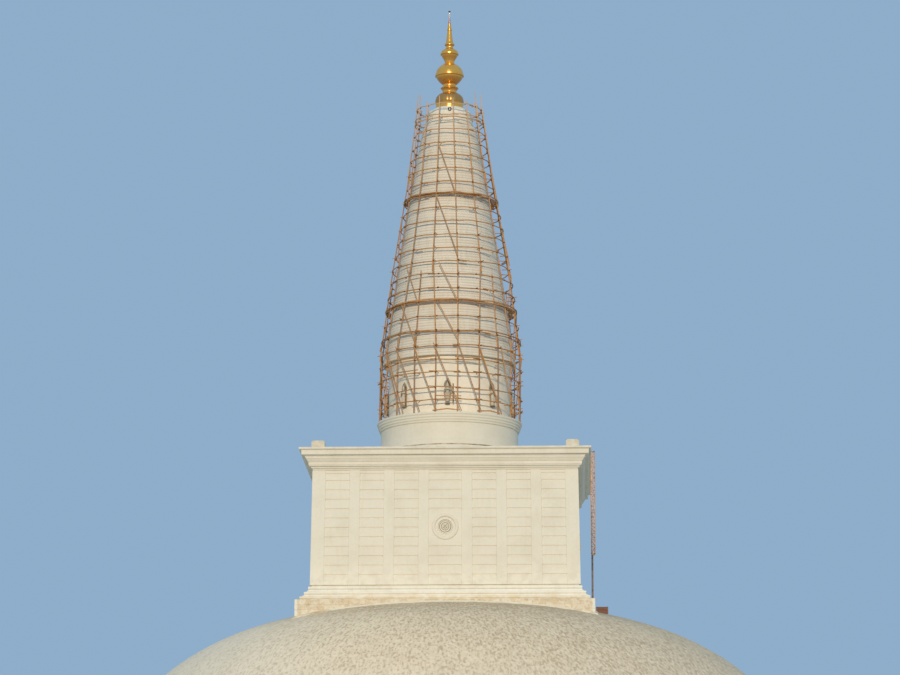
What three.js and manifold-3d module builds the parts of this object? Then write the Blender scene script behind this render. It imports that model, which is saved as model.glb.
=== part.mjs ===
// A white stupa of plastered brick: three round terraces, a bubble-shaped dome, a square chamber,
// a drum with reliefs, a ringed spire and a gilded pinnacle. A pole scaffold stands round the spire
// and a hoist mast beside the chamber. It is a model at 1:10, in millimetres, with +Z up, the front
// face towards -Y and the origin on the ground under the tip.
import * as THREE from "three";
import { mergeVertices } from "three/addons/utils/BufferGeometryUtils.js";
import Module from "manifold-3d";

// One metre of the real stupa, in millimetres of the model.
const metre = 100;

// The clearance left where one piece rests on another.
const seat = 0.3;

// The number of sides that each kind of round body is turned with.
const terraceSides = 40;
const domeSides = 56;
const drumSides = 36;
const spireSides = 28;
const ornamentSides = 16;

// Terraces and dome. The dome's outline is a superellipse, steep at the foot and flat on top.
const terraceTops = [2.2 * metre, 4.1 * metre, 6 * metre];
const terraceRadii = [45.5 * metre, 42.5 * metre, 39.5 * metre];
const terraceLip = 0.35 * metre;
const terraceLipDepth = 0.6 * metre;
const domeRadius = 35.1 * metre;
const domeTop = 47.7 * metre;
const domeExponent = 3.1;
const domeMiddleX = 0.55 * metre;
const domeRows = 12;

// Frontispieces, one against the dome on each of the four sides: half width, front and top
// of each tier of masonry, from the terrace upwards.
const frontispieceBack = 34 * metre;
const frontispieceTiers = [
  { half: 6.0 * metre, front: 38.9 * metre, top: 7.0 * metre },
  { half: 5.5 * metre, front: 38.5 * metre, top: 11.6 * metre },
  { half: 5.9 * metre, front: 38.8 * metre, top: 12.2 * metre },
  { half: 4.5 * metre, front: 38.1 * metre, top: 14.0 * metre },
  { half: 4.9 * metre, front: 38.4 * metre, top: 14.5 * metre },
];

// Plinth of the square chamber: half width and top of each course.
const footingHalf = 12.8 * metre;
const footingFoot = 45.6 * metre;
const footingTop = 47.35 * metre;
const plinthCourses = [
  { name: "plinth_lower_course", half: 12.4 * metre, top: 47.75 * metre },
  { name: "plinth_middle_course", half: 12.05 * metre, top: 48.2 * metre },
  { name: "plinth_upper_course", half: 11.72 * metre, top: 48.72 * metre },
];

// Square chamber. Its walls lean inwards a little, and each has seven sunken bays between pilasters.
const chamberFoot = 48.72 * metre;
const chamberTop = 58.67 * metre;
const chamberHalf = 11.57 * metre;
const chamberHalfAtTop = 11.42 * metre;
const wallThickness = 0.9 * metre;
const baySunk = 0.06 * metre;
const centreBay = 2.86 * metre;
const sideBay = 2.12 * metre;
const pilasterWidth = 0.88 * metre;

// Medallion in the middle of each wall: radius and height above the sunken bay of each ring.
const medallionLevel = 53.74 * metre;
const medallionRings = [
  { radius: 1.19 * metre, rise: 0.2 * metre },
  { radius: 0.8 * metre, rise: 0.12 * metre },
  { radius: 0.55 * metre, rise: 0.22 * metre },
  { radius: 0.34 * metre, rise: 0.3 * metre },
];

// Cornice: half width at the foot and at the top of each course, and its top.
const corniceCourses = [
  { name: "cornice_bed_course", foot: 11.48 * metre, half: 11.54 * metre, top: 59.0 * metre },
  { name: "cornice_fillet_course", foot: 11.66 * metre, half: 11.75 * metre, top: 59.38 * metre },
  { name: "cornice_cyma_course", foot: 11.84 * metre, half: 12.05 * metre, top: 59.9 * metre },
  { name: "cornice_corona", foot: 12.33 * metre, half: 12.55 * metre, top: 60.54 * metre },
];
const roof = 60.54 * metre;
const cornerBlockSize = 1.15 * metre;
const cornerBlockHeight = 0.6 * metre;
const cornerBlockPlace = 10.85 * metre;

// Round drums between the chamber and the spire.
const drumStepRadius = 6.3 * metre;
const drumStepTop = 62.35 * metre;
const drumRadius = 6.1 * metre;
const drumTop = 63.87 * metre;
const ledgeTop = 64.72 * metre;
const ledgeFillets = [
  { radius: 6.2 * metre, top: 64.05 * metre },
  { radius: 6.29 * metre, top: 64.29 * metre },
  { radius: 6.37 * metre, top: 64.51 * metre },
  { radius: 6.45 * metre, top: ledgeTop },
];
const figureDrumRadius = 5.4 * metre;
const figureDrumTop = 69.9 * metre;
const figureCount = 8;

// Spire: a cone with a slight swelling, cut into rings, under a plain neck and a ringed cap.
const coneFootRadius = 5.95 * metre;
const coneTopRadius = 2.43 * metre;
const coneTop = 91.8 * metre;
const coneSwelling = 0.08 * metre;
const coneRings = 16;
const ringDepth = 0.1 * metre;
const neckFootRadius = 2.2 * metre;
const neckRadius = 2 * metre;
const neckTop = 92.52 * metre;
const capTop = 93.7 * metre;

// Pole scaffold: radius of the pole ring at the top and foot of each tier, and how far its middle
// stands to the right of the spire's.
const poleWidth = 0.1 * metre;
const ledgerWidth = 0.12 * metre;
const standardCount = 10;
const firstStandardDegrees = 6.6;
const scaffoldKnots = [
  { level: ledgeTop, radius: 6.26 * metre, middleX: 0.05 * metre },
  { level: 71.2 * metre, radius: 6.26 * metre, middleX: 0.12 * metre },
  { level: 79.0 * metre, radius: 5.19 * metre, middleX: 0.2 * metre },
  { level: 87.0 * metre, radius: 3.76 * metre, middleX: 0.12 * metre },
  { level: 93.5 * metre, radius: 2.9 * metre, middleX: 0.03 * metre },
];

// Hoist mast beside the right wall, a lattice on a plain post, and a wooden box on the dome.
const mastWidth = 0.38 * metre;
const mastBar = 0.06 * metre;
const mastTop = 64.4 * metre;
const mastX = 12.77 * metre;
const mastY = 12.4 * metre;
const mastBays = 4;
const postX = 12.68 * metre;
const postWidth = 0.2 * metre;
const postTop = 54.9 * metre;
const boxX = 13.4 * metre;
const boxY = -8 * metre;
const boxWidth = 1.04 * metre;
const boxTop = 47.16 * metre;
const boxFoot = 45.9 * metre;

// Finishes.
const plaster = new THREE.MeshStandardMaterial({ color: 0xe4dac3, roughness: 0.8, metalness: 0 });
const domePlaster = new THREE.MeshStandardMaterial({ color: 0xc3b69b, roughness: 0.9, metalness: 0 });
const stone = new THREE.MeshStandardMaterial({ color: 0xcdb98a, roughness: 0.9, metalness: 0 });
const gold = new THREE.MeshStandardMaterial({ color: 0xe0a41c, roughness: 0.25, metalness: 1 });
const crystal = new THREE.MeshStandardMaterial({ color: 0xe6dcd8, roughness: 0.1, metalness: 0 });
const pole = new THREE.MeshStandardMaterial({ color: 0xb5703c, roughness: 0.8, metalness: 0 });
const steel = new THREE.MeshStandardMaterial({ color: 0xb06f46, roughness: 0.6, metalness: 0.3 });
const timber = new THREE.MeshStandardMaterial({ color: 0x5f4632, roughness: 0.8, metalness: 0 });

const wasm = await Module();
wasm.setup();

// Turns a geometry into a solid that can be joined and cut.
function solidOf(geometry) {
  const bare = geometry.index ? geometry.toNonIndexed() : geometry.clone();
  bare.deleteAttribute("normal");
  bare.deleteAttribute("uv");
  const merged = mergeVertices(bare, 1e-3);
  return new wasm.Manifold(
    new wasm.Mesh({
      numProp: 3,
      vertProperties: merged.attributes.position.array,
      triVerts: new Uint32Array(merged.index.array),
    }),
  );
}

// Turns a solid back into a geometry.
function geometryOf(solid) {
  const mesh = solid.getMesh();
  const geometry = new THREE.BufferGeometry();
  geometry.setAttribute("position", new THREE.BufferAttribute(mesh.vertProperties, 3));
  geometry.setIndex(new THREE.BufferAttribute(mesh.triVerts, 1));
  return geometry;
}

// Joins geometries that touch or overlap into one.
function joined(geometries) {
  return geometryOf(geometries.map(solidOf).reduce((whole, piece) => whole.add(piece)));
}

// Cuts one geometry out of another.
function cutFrom(geometry, cutter) {
  return geometryOf(solidOf(geometry).subtract(solidOf(cutter)));
}

// A round body about the vertical axis, from the radii and levels of its outline, foot first.
function turned(outline, sides) {
  const points = outline.map(([radius, level]) => new THREE.Vector2(radius, level));
  const foot = new THREE.Vector2(0, outline[0][1]);
  const top = new THREE.Vector2(0, outline[outline.length - 1][1]);
  return new THREE.LatheGeometry([foot, ...points, top], sides).rotateX(Math.PI / 2);
}

// A square body about the vertical axis, from the half widths and levels of its outline.
function squared(outline) {
  const points = outline.map(([half, level]) => new THREE.Vector2(half * Math.SQRT2, level));
  const foot = new THREE.Vector2(0, outline[0][1]);
  const top = new THREE.Vector2(0, outline[outline.length - 1][1]);
  return new THREE.LatheGeometry([foot, ...points, top], 4, Math.PI / 4).rotateX(Math.PI / 2);
}

// A box between two corners.
function block(low, high) {
  const size = high.map((value, axis) => value - low[axis]);
  const middle = high.map((value, axis) => (value + low[axis]) / 2);
  return new THREE.BoxGeometry(...size).translate(...middle);
}

// A square bar between two points.
function bar(from, to, width) {
  const along = new THREE.Vector3().subVectors(to, from);
  const turn = new THREE.Quaternion().setFromUnitVectors(
    new THREE.Vector3(0, 0, 1),
    along.clone().normalize(),
  );
  const middle = new THREE.Vector3().addVectors(from, to).multiplyScalar(0.5);
  return new THREE.BoxGeometry(width, width, along.length())
    .applyQuaternion(turn)
    .translate(middle.x, middle.y, middle.z);
}

// The four sides of the stupa, each with the turn that takes the front there.
const sides = [
  { name: "front", turn: 0 },
  { name: "right", turn: Math.PI / 2 },
  { name: "back", turn: Math.PI },
  { name: "left", turn: -Math.PI / 2 },
];

const stupa = new THREE.Group();

function place(name, geometry, material, turn = 0) {
  const mesh = new THREE.Mesh(geometry, material);
  mesh.name = name;
  mesh.rotation.z = turn;
  stupa.add(mesh);
}

// Terraces: three round steps of solid masonry, each with a projecting lip.
["lower_terrace", "middle_terrace", "upper_terrace"].forEach((name, index) => {
  const foot = index === 0 ? 0 : terraceTops[index - 1] + seat;
  const top = terraceTops[index];
  const radius = terraceRadii[index];
  const wall = radius - terraceLip;
  const outline = [
    [radius, foot],
    [radius, foot + terraceLip],
    [wall, foot + terraceLip],
    [wall, top - terraceLipDepth],
    [radius, top - terraceLipDepth],
    [radius, top],
  ];
  place(name, turned(outline, terraceSides), plaster);
});

// Dome: a superellipse of revolution with a square seat sunk in its crown for the chamber's footing.
// Its middle stands a little to the right of the spire's, as in the photograph.
const springing = terraceTops[2] + seat;

function domeOutline(extra) {
  const outline = [];
  for (let row = 0; row < domeRows; row += 1) {
    const angle = (row / domeRows) * (Math.PI / 2);
    const radius = domeRadius * Math.cos(angle) ** (2 / domeExponent) + extra;
    const level = springing + (domeTop - springing) * Math.sin(angle) ** (2 / domeExponent);
    outline.push([radius, level + (row ? extra : 0)]);
  }
  outline.push([0, domeTop + extra]);
  return outline;
}

function domeBody(extra) {
  const points = domeOutline(extra).map(([radius, level]) => new THREE.Vector2(radius, level));
  const outline = [new THREE.Vector2(0, springing), ...points];
  return new THREE.LatheGeometry(outline, domeSides).rotateX(Math.PI / 2).translate(domeMiddleX, 0, 0);
}

const crownSeat = squared([
  [footingHalf + seat, footingFoot],
  [footingHalf + seat, domeTop + metre],
]);
const dome = cutFrom(domeBody(0), crownSeat);
const domeClearance = domeBody(seat);
place("dome", dome, domePlaster);

// Frontispieces: tiered blocks of masonry built against the dome, their backs fitted to its curve.
const frontispiece = joined(
  frontispieceTiers.map(({ half, front, top }, index) => {
    const foot = index === 0 ? springing : frontispieceTiers[index - 1].top;
    return block([-half, -front, foot], [half, -frontispieceBack, top]);
  }),
);
sides.forEach(({ name, turn }) => {
  const standing = frontispiece.clone().rotateZ(turn);
  place(name + "_frontispiece", cutFrom(standing, domeClearance), plaster);
});

// Plinth: a stone footing in the crown of the dome and three stepped courses on it.
place(
  "plinth_footing",
  squared([
    [footingHalf, footingFoot + seat],
    [footingHalf, footingTop],
  ]),
  stone,
);
plinthCourses.forEach(({ name, half, top }, index) => {
  const foot = (index === 0 ? footingTop : plinthCourses[index - 1].top) + seat;
  const chamfer = 0.12 * metre;
  place(
    name,
    squared([
      [half, foot],
      [half, top - chamfer],
      [half - chamfer, top],
    ]),
    plaster,
  );
});

// Chamber: a solid core with a facing on each side. Both lean inwards by the same share.
const lean = 1 - chamberHalfAtTop / chamberHalf;

function leaned(geometry) {
  const position = geometry.attributes.position;
  for (let index = 0; index < position.count; index += 1) {
    const rise = (position.getZ(index) - chamberFoot) / (chamberTop - chamberFoot);
    const share = 1 - lean * rise;
    position.setX(index, position.getX(index) * share);
    position.setY(index, position.getY(index) * share);
  }
  return geometry;
}

const coreHalf = chamberHalf - wallThickness;
place(
  "chamber_core",
  leaned(
    squared([
      [coreHalf, chamberFoot + seat],
      [coreHalf, chamberTop],
    ]),
  ),
  plaster,
);

// The plan of a facing: a slab whose outer side steps back at each of its seven bays.
function facingPlan(halfLength) {
  const plan = new THREE.Shape();
  const inner = -(coreHalf + seat);
  plan.moveTo(-halfLength, inner);
  let edge = -centreBay / 2 - 3 * (pilasterWidth + sideBay);
  plan.lineTo(-halfLength, -chamberHalf);
  for (let bay = 0; bay < 7; bay += 1) {
    const width = bay === 3 ? centreBay : sideBay;
    plan.lineTo(edge, -chamberHalf);
    plan.lineTo(edge, -chamberHalf + baySunk);
    plan.lineTo(edge + width, -chamberHalf + baySunk);
    plan.lineTo(edge + width, -chamberHalf);
    edge += width + pilasterWidth;
  }
  plan.lineTo(halfLength, -chamberHalf);
  plan.lineTo(halfLength, inner);
  return plan;
}

sides.forEach(({ name, turn }, index) => {
  const halfLength = index % 2 === 0 ? chamberHalf : coreHalf;
  const facing = new THREE.ExtrudeGeometry(facingPlan(halfLength), {
    depth: chamberTop - chamberFoot - seat,
    bevelEnabled: false,
  }).translate(0, 0, chamberFoot + seat);
  place(name + "_wall", leaned(facing), plaster, turn);
});

// Medallions: concentric rings and a boss, fixed in the middle bay of each wall.
const medallionSeat = (() => {
  const rise = (medallionLevel - chamberFoot) / (chamberTop - chamberFoot);
  return (chamberHalf - baySunk) * (1 - lean * rise);
})();
const medallionOutline = medallionRings.flatMap(({ radius, rise }, index) => {
  const next = medallionRings[index + 1];
  return next ? [[radius, rise], [next.radius, rise], [next.radius, next.rise]] : [];
});
const lastRing = medallionRings[medallionRings.length - 1];
const wallSlope = Math.atan((chamberHalf - chamberHalfAtTop) / (chamberTop - chamberFoot));
const bossTop = [0.2 * metre, lastRing.rise];
const medallion = turned([[medallionRings[0].radius, 0], ...medallionOutline, bossTop], ornamentSides)
  .rotateX(Math.PI / 2 - wallSlope)
  .translate(0, -medallionSeat - seat, medallionLevel);
sides.forEach(({ name, turn }) => {
  place(name + "_medallion", medallion, plaster, turn);
});

// Cornice: four square courses that step outwards, the last with a block at each corner.
corniceCourses.forEach(({ name, foot: footHalf, half, top }, index) => {
  const foot = (index === 0 ? chamberTop : corniceCourses[index - 1].top) + seat;
  const course = squared([
    [footHalf, foot],
    [half, top - 0.12 * metre],
    [half, top],
  ]);
  if (index < corniceCourses.length - 1) {
    place(name, course, plaster);
    return;
  }
  const near = cornerBlockPlace - cornerBlockSize / 2;
  const far = cornerBlockPlace + cornerBlockSize / 2;
  const blocks = [
    block([near, near, foot], [far, far, roof + cornerBlockHeight]),
    block([-far, near, foot], [-near, far, roof + cornerBlockHeight]),
    block([-far, -far, foot], [-near, -near, roof + cornerBlockHeight]),
    block([near, -far, foot], [far, -near, roof + cornerBlockHeight]),
  ];
  place(name, joined([course, ...blocks]), plaster);
});

// Drums: a step, a plain drum, and a ledge in four fillets that carries the scaffold.
place(
  "drum_step",
  turned(
    [
      [drumStepRadius, roof + seat],
      [drumStepRadius, drumStepTop],
    ],
    drumSides,
  ),
  plaster,
);
place(
  "lower_drum",
  turned(
    [
      [drumRadius + 0.1 * metre, drumStepTop + seat],
      [drumRadius, drumTop],
    ],
    drumSides,
  ),
  plaster,
);
place(
  "drum_ledge",
  turned(
    ledgeFillets.flatMap(({ radius, top }, index) => [
      [radius, index === 0 ? drumTop + seat : ledgeFillets[index - 1].top],
      [radius, top],
    ]),
    drumSides,
  ),
  plaster,
);

// Figure drum: a recessed drum with eight standing figures in relief, each on a bracket and under a halo.
const figureStand = 65.5 * metre;
const figureWidth = 0.8 * metre;
const figureHeight = 2.15 * metre;
const bracketHalf = 0.28 * metre;
const bracketDepth = 0.3 * metre;
const headRadius = 0.2 * metre;
const haloRadius = 0.36 * metre;

function standingFigure() {
  const front = -figureDrumRadius - 0.22 * metre;
  const back = -figureDrumRadius + 0.2 * metre;
  const bracket = block(
    [-bracketHalf, front - 0.08 * metre, figureStand - bracketDepth],
    [bracketHalf, back, figureStand],
  );
  const robe = new THREE.CylinderGeometry(figureWidth * 0.38, figureWidth * 0.46, figureHeight * 0.8, 6)
    .rotateX(Math.PI / 2)
    .translate(0, front + 0.12 * metre, figureStand + figureHeight * 0.4);
  const shoulderLevel = figureStand + figureHeight * 0.76;
  const head = new THREE.SphereGeometry(headRadius, 6, 5)
    .rotateX(Math.PI / 2)
    .translate(0, front + 0.08 * metre, shoulderLevel + figureHeight * 0.14);
  const halo = new THREE.CylinderGeometry(haloRadius, haloRadius, 0.34 * metre, 8)
    .translate(0, back, shoulderLevel + figureHeight * 0.14);
  return joined([bracket, robe, halo, head]);
}

const figure = standingFigure();
const figures = [];
for (let index = 0; index < figureCount; index += 1) {
  figures.push(figure.clone().rotateZ((2 * Math.PI * index) / figureCount));
}
const figureDrum = turned(
  [
    [figureDrumRadius, ledgeTop + seat],
    [figureDrumRadius, figureDrumTop - 0.5 * metre],
    [figureDrumRadius + 0.2 * metre, figureDrumTop - 0.3 * metre],
    [figureDrumRadius + 0.2 * metre, figureDrumTop],
  ],
  drumSides,
);
place("figure_drum", joined([figureDrum, ...figures]), plaster);

// Spire cone: each ring is upright at its rim, then steps back to the next.
const coneFoot = figureDrumTop + seat;

function coneRadius(level) {
  const rise = (level - coneFoot) / (coneTop - coneFoot);
  const straight = coneFootRadius + (coneTopRadius - coneFootRadius) * rise;
  return straight + coneSwelling * Math.sin(Math.PI * rise);
}

const coneOutline = [];
for (let ring = 0; ring < coneRings; ring += 1) {
  const foot = coneFoot + ((coneTop - coneFoot) * ring) / coneRings;
  const top = coneFoot + ((coneTop - coneFoot) * (ring + 1)) / coneRings;
  coneOutline.push([coneRadius(foot), foot + (ring ? 0.12 * metre : 0)]);
  coneOutline.push([coneRadius(top) + ringDepth / 2, top]);
}
place("spire_cone", turned(coneOutline, spireSides), plaster);

// Neck and cap: a plain cylinder and two thick rings under the gilded pinnacle.
place(
  "spire_neck",
  turned(
    [
      [neckFootRadius, coneTop + seat],
      [neckRadius, neckTop],
    ],
    spireSides,
  ),
  plaster,
);
place(
  "spire_cap",
  turned(
    [
      [2.13 * metre, neckTop + seat],
      [2.13 * metre, 92.74 * metre],
      [1.96 * metre, 92.84 * metre],
      [1.96 * metre, 93.34 * metre],
      [1.35 * metre, capTop],
    ],
    spireSides,
  ),
  plaster,
);

// Pinnacle: five gilded or crystal pieces stacked on the cap, each given by radius and level.
const pinnacle = [
  {
    name: "pinnacle_foot",
    material: gold,
    outline: [[1.24, 93.7], [1.24, 94.13], [1.28, 94.2], [1.29, 94.5], [1.21, 94.85], [0.88, 95.11],
      [0.63, 95.28]],
  },
  {
    name: "pinnacle_collar",
    material: gold,
    outline: [[0.63, 95.28], [0.66, 95.4], [0.8, 95.65], [0.8, 95.73], [0.6, 95.8], [0.56, 96.02]],
  },
  {
    name: "pinnacle_large_bulb",
    material: gold,
    outline: [[0.62, 96.02], [1.0, 96.3], [1.2, 96.62], [1.3, 96.68], [1.3, 96.88], [1.24, 97.18],
      [1.08, 97.5], [0.76, 97.84], [0.43, 98.07]],
  },
  {
    name: "pinnacle_small_bulb",
    material: gold,
    outline: [[0.43, 98.07], [0.56, 98.32], [0.72, 98.58], [0.81, 98.66], [0.82, 98.84], [0.7, 99.15],
      [0.44, 99.38]],
  },
  {
    name: "pinnacle_spike",
    material: gold,
    outline: [[0.36, 99.38], [0.38, 99.6], [0.45, 99.7], [0.45, 99.86], [0.33, 99.96], [0.19, 101.1],
      [0.22, 101.2], [0.17, 101.3], [0.14, 101.75]],
  },
  {
    name: "crystal_tip",
    material: crystal,
    outline: [[0.06, 101.75], [0.06, 102.35], [0.12, 102.45], [0.12, 102.85], [0.03, 103.0]],
  },
];
pinnacle.forEach(({ name, material, outline }) => {
  const scaled = outline.map(([radius, level]) => [radius * metre, level * metre]);
  scaled[0][1] += seat;
  place(name, turned(scaled, ornamentSides), material);
});

// Scaffold: four tiers of standards, each tied by a ring of ledgers at its foot, middle and top.
function ledgerRing(radius, middleX, level) {
  const low = level - ledgerWidth / 2;
  const high = level + ledgerWidth / 2;
  const inner = radius - ledgerWidth / 2;
  const outer = radius + ledgerWidth / 2;
  const section = [[inner, low], [outer, low], [outer, high], [inner, high], [inner, low]];
  return new THREE.LatheGeometry(
    section.map(([x, y]) => new THREE.Vector2(x, y)),
    2 * standardCount,
    THREE.MathUtils.degToRad(firstStandardDegrees),
  )
    .rotateX(Math.PI / 2)
    .translate(middleX, 0, 0);
}

function standardEnd({ radius, middleX }, degrees, level) {
  const angle = THREE.MathUtils.degToRad(degrees);
  return new THREE.Vector3(middleX + radius * Math.sin(angle), -radius * Math.cos(angle), level);
}

const tierNames = [
  "scaffold_first_tier",
  "scaffold_second_tier",
  "scaffold_third_tier",
  "scaffold_top_tier",
];
tierNames.forEach((name, tier) => {
  const foot = scaffoldKnots[tier];
  const head = scaffoldKnots[tier + 1];
  const low = foot.level + seat + ledgerWidth / 2;
  const high = head.level - ledgerWidth / 2;
  const bars = [
    ledgerRing(foot.radius, foot.middleX, low),
    ledgerRing((foot.radius + head.radius) / 2, (foot.middleX + head.middleX) / 2, (low + high) / 2),
    ledgerRing(head.radius, head.middleX, high),
  ];
  for (let index = 0; index < standardCount; index += 1) {
    const degrees = firstStandardDegrees + (360 / standardCount) * index;
    bars.push(bar(standardEnd(foot, degrees, low), standardEnd(head, degrees, high), poleWidth));
  }
  place(name, joined(bars), pole);
});

// Hoist mast: four uprights with square frames between them, on a post that stands on the footing.
function mastBody() {
  const reach = (mastWidth - mastBar) / 2;
  const foot = postTop;
  const corners = [[-reach, -reach], [reach, -reach], [reach, reach], [-reach, reach]];
  const bars = corners.map(([x, y]) =>
    block(
      [mastX + x - mastBar / 2, mastY + y - mastBar / 2, foot],
      [mastX + x + mastBar / 2, mastY + y + mastBar / 2, mastTop],
    ),
  );
  const thin = mastBar * 0.4;
  for (let level = 0; level <= mastBays; level += 1) {
    const height = foot + mastBar + ((mastTop - foot - 2 * mastBar) * level) / mastBays;
    corners.forEach(([x, y], index) => {
      const [nextX, nextY] = corners[(index + 1) % 4];
      bars.push(
        block(
          [mastX + Math.min(x, nextX) - thin, mastY + Math.min(y, nextY) - thin, height - thin],
          [mastX + Math.max(x, nextX) + thin, mastY + Math.max(y, nextY) + thin, height + thin],
        ),
      );
    });
  }
  const half = mastWidth / 2;
  const bedPlate = block(
    [mastX - half, mastY - half, postTop - mastBar],
    [mastX + half, mastY + half, postTop + mastBar],
  );
  const post = block(
    [postX - postWidth / 2, mastY - postWidth / 2, footingTop + seat],
    [postX + postWidth / 2, mastY + postWidth / 2, postTop],
  );
  return joined([...bars, bedPlate, post]);
}

place("hoist_mast", mastBody(), steel);

// Wooden box on the crown of the dome, its underside fitted to the slope.
const box = block(
  [boxX - boxWidth / 2, boxY - boxWidth / 2, boxFoot],
  [boxX + boxWidth / 2, boxY + boxWidth / 2, boxTop],
);
place("dome_box", cutFrom(box, domeClearance), timber);

export default stupa;
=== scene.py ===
import math
import random

import bmesh
import bpy
from mathutils import Matrix, Vector, noise


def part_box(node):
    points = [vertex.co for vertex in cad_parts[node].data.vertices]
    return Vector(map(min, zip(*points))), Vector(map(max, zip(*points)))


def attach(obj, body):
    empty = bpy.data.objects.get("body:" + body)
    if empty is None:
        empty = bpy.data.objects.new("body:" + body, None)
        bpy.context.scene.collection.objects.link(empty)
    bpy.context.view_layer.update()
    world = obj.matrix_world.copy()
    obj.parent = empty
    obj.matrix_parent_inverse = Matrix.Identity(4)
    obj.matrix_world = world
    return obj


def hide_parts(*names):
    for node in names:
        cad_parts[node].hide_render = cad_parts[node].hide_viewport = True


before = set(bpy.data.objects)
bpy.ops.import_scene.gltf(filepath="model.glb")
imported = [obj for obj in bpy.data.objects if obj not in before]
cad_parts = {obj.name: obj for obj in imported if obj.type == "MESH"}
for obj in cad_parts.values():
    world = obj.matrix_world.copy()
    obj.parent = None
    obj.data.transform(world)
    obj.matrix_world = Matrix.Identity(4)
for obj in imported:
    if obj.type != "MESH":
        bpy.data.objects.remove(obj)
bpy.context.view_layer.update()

# Camera: a long lens at eye level, 344 m in front of the stupa and 11 m to the right of its middle.
# It is tilted up, so the frame runs from the crown of the dome to the tip of the pinnacle.
# All sizes below are real ones, and one real metre is this much of the model.
metre = 0.1
camera_distance = 344
camera_height = 1.7
camera_bearing = math.radians(1.85)
camera_tilt = math.radians(11.651)
aim_past_axis = math.radians(0.0073)

camera = bpy.data.objects.new("camera", bpy.data.cameras.new("camera"))
camera.data.sensor_width = 36
camera.data.lens = 157.02
camera.data.clip_end = 300
camera.location = Vector((
    camera_distance * math.sin(camera_bearing),
    -camera_distance * math.cos(camera_bearing),
    camera_height,
)) * metre
camera.rotation_euler = (math.pi / 2 + camera_tilt, 0, camera_bearing - aim_past_axis)
bpy.context.collection.objects.link(camera)
bpy.context.scene.camera = camera

# Terraces: three round steps of plastered brick under the dome, each with a moulded foot and a
# projecting lip of plaster run along its edge. They are limewashed, and rain has streaked them.
terrace_steps = 200
terrace_foot = ((0, 0), (0, 0.3), (-0.2, 0.42), (-0.25, 0.5), (-0.35, 0.55))
terrace_lip = (
    (-0.35, -0.86), (-0.23, -0.8), (-0.23, -0.7), (-0.06, -0.55), (0, -0.5), (0, -0.12), (-0.1, 0),
)


def real_box(node):
    """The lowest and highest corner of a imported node, in real metres."""
    low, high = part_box(node)
    return low / metre, high / metre


def at(side, level, profile):
    """The points of a profile, given as (out, up) from a side and a level."""
    return [(side + out, level + up) for out, up in profile]


def turned(outline, steps, easing=0.0):
    """Spins an outline of (radius, level) points round the axis into a closed body. The corners
    between its first and last point are rounded by the easing."""
    body = bmesh.new()
    points = [body.verts.new((radius, 0, level)) for radius, level in outline]
    for pair in zip(points, points[1:]):
        body.edges.new(pair)
    if easing:
        bmesh.ops.bevel(body, geom=points[1:-1], offset=easing, offset_type="OFFSET",
                        affect="VERTICES", segments=2, profile=0.5, material=-1, clamp_overlap=True)
    bmesh.ops.spin(body, geom=body.verts[:] + body.edges[:], cent=(0, 0, 0), axis=(0, 0, 1),
                   angle=math.tau, steps=steps, use_merge=True)
    closed(body)
    return body


def closed(body):
    """Merges what touches and turns every face outwards."""
    bmesh.ops.remove_doubles(body, verts=body.verts, dist=0.0005)
    bmesh.ops.recalc_face_normals(body, faces=body.faces)


def finished(name, body, finish, nodes, sharp_degrees=32):
    """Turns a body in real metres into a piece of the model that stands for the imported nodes."""
    bmesh.ops.scale(body, vec=(metre, metre, metre), verts=body.verts)
    mesh = bpy.data.meshes.new(name)
    body.to_mesh(mesh)
    body.free()
    mesh.shade_smooth()
    mesh.set_sharp_from_angle(angle=math.radians(sharp_degrees))
    mesh.materials.append(finish)
    piece = bpy.data.objects.new(name, mesh)
    bpy.context.collection.objects.link(piece)
    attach(piece, "root")
    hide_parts(*nodes)


class Wire:
    """A socket in a material. Maths on it adds Math nodes, and node() adds any other node."""

    def __init__(self, tree, socket=None):
        self.tree = tree
        self.socket = socket

    def node(self, kind, settings, inputs, output=0):
        made = self.tree.nodes.new("ShaderNode" + kind)
        for name, value in settings.items():
            setattr(made, name, value)
        for name, value in inputs.items():
            if isinstance(value, Wire):
                self.tree.links.new(value.socket, made.inputs[name])
            else:
                made.inputs[name].default_value = value
        return Wire(self.tree, made.outputs[output])

    def maths(self, operation, *values):
        return self.node("Math", {"operation": operation}, dict(enumerate(values)))

    def vector(self, operation, *values):
        return self.node("VectorMath", {"operation": operation}, dict(enumerate(values)))

    def axis(self, name):
        return self.node("SeparateXYZ", {}, {0: self}, name)

    def __add__(self, other):
        return self.maths("ADD", self, other)

    def __sub__(self, other):
        return self.maths("SUBTRACT", self, other)

    def __rsub__(self, other):
        return self.maths("SUBTRACT", other, self)

    def __mul__(self, other):
        return self.maths("MULTIPLY", self, other)

    __radd__ = __add__
    __rmul__ = __mul__


def paint(red, green, blue):
    """A colour given as the eye reads it, 0 to 255 a channel, as the linear one that shaders take."""
    return tuple(((channel / 255 + 0.055) / 1.055) ** 2.4 for channel in (red, green, blue)) + (1,)


def new_finish(name):
    """A material, its shader, and the place on the piece in real metres."""
    material = bpy.data.materials.new(name)
    material.use_nodes = True
    tree = material.node_tree
    place = Wire(tree).node("TexCoord", {}, {}, "Object")
    place = place.node("VectorMath", {"operation": "SCALE"}, {0: place, "Scale": 1 / metre})
    return material, tree.nodes["Principled BSDF"], place


def cloud(place, scale, detail=3.0):
    """Soft noise with so many swells to the metre."""
    return place.node("TexNoise", {}, {"Vector": place, "Scale": scale, "Detail": detail}, "Fac")


def drawn_out(place, swells, detail=3.0):
    """Soft noise with its own number of swells to the metre along each axis."""
    return cloud(place.vector("MULTIPLY", place, swells), 1, detail)


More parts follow.
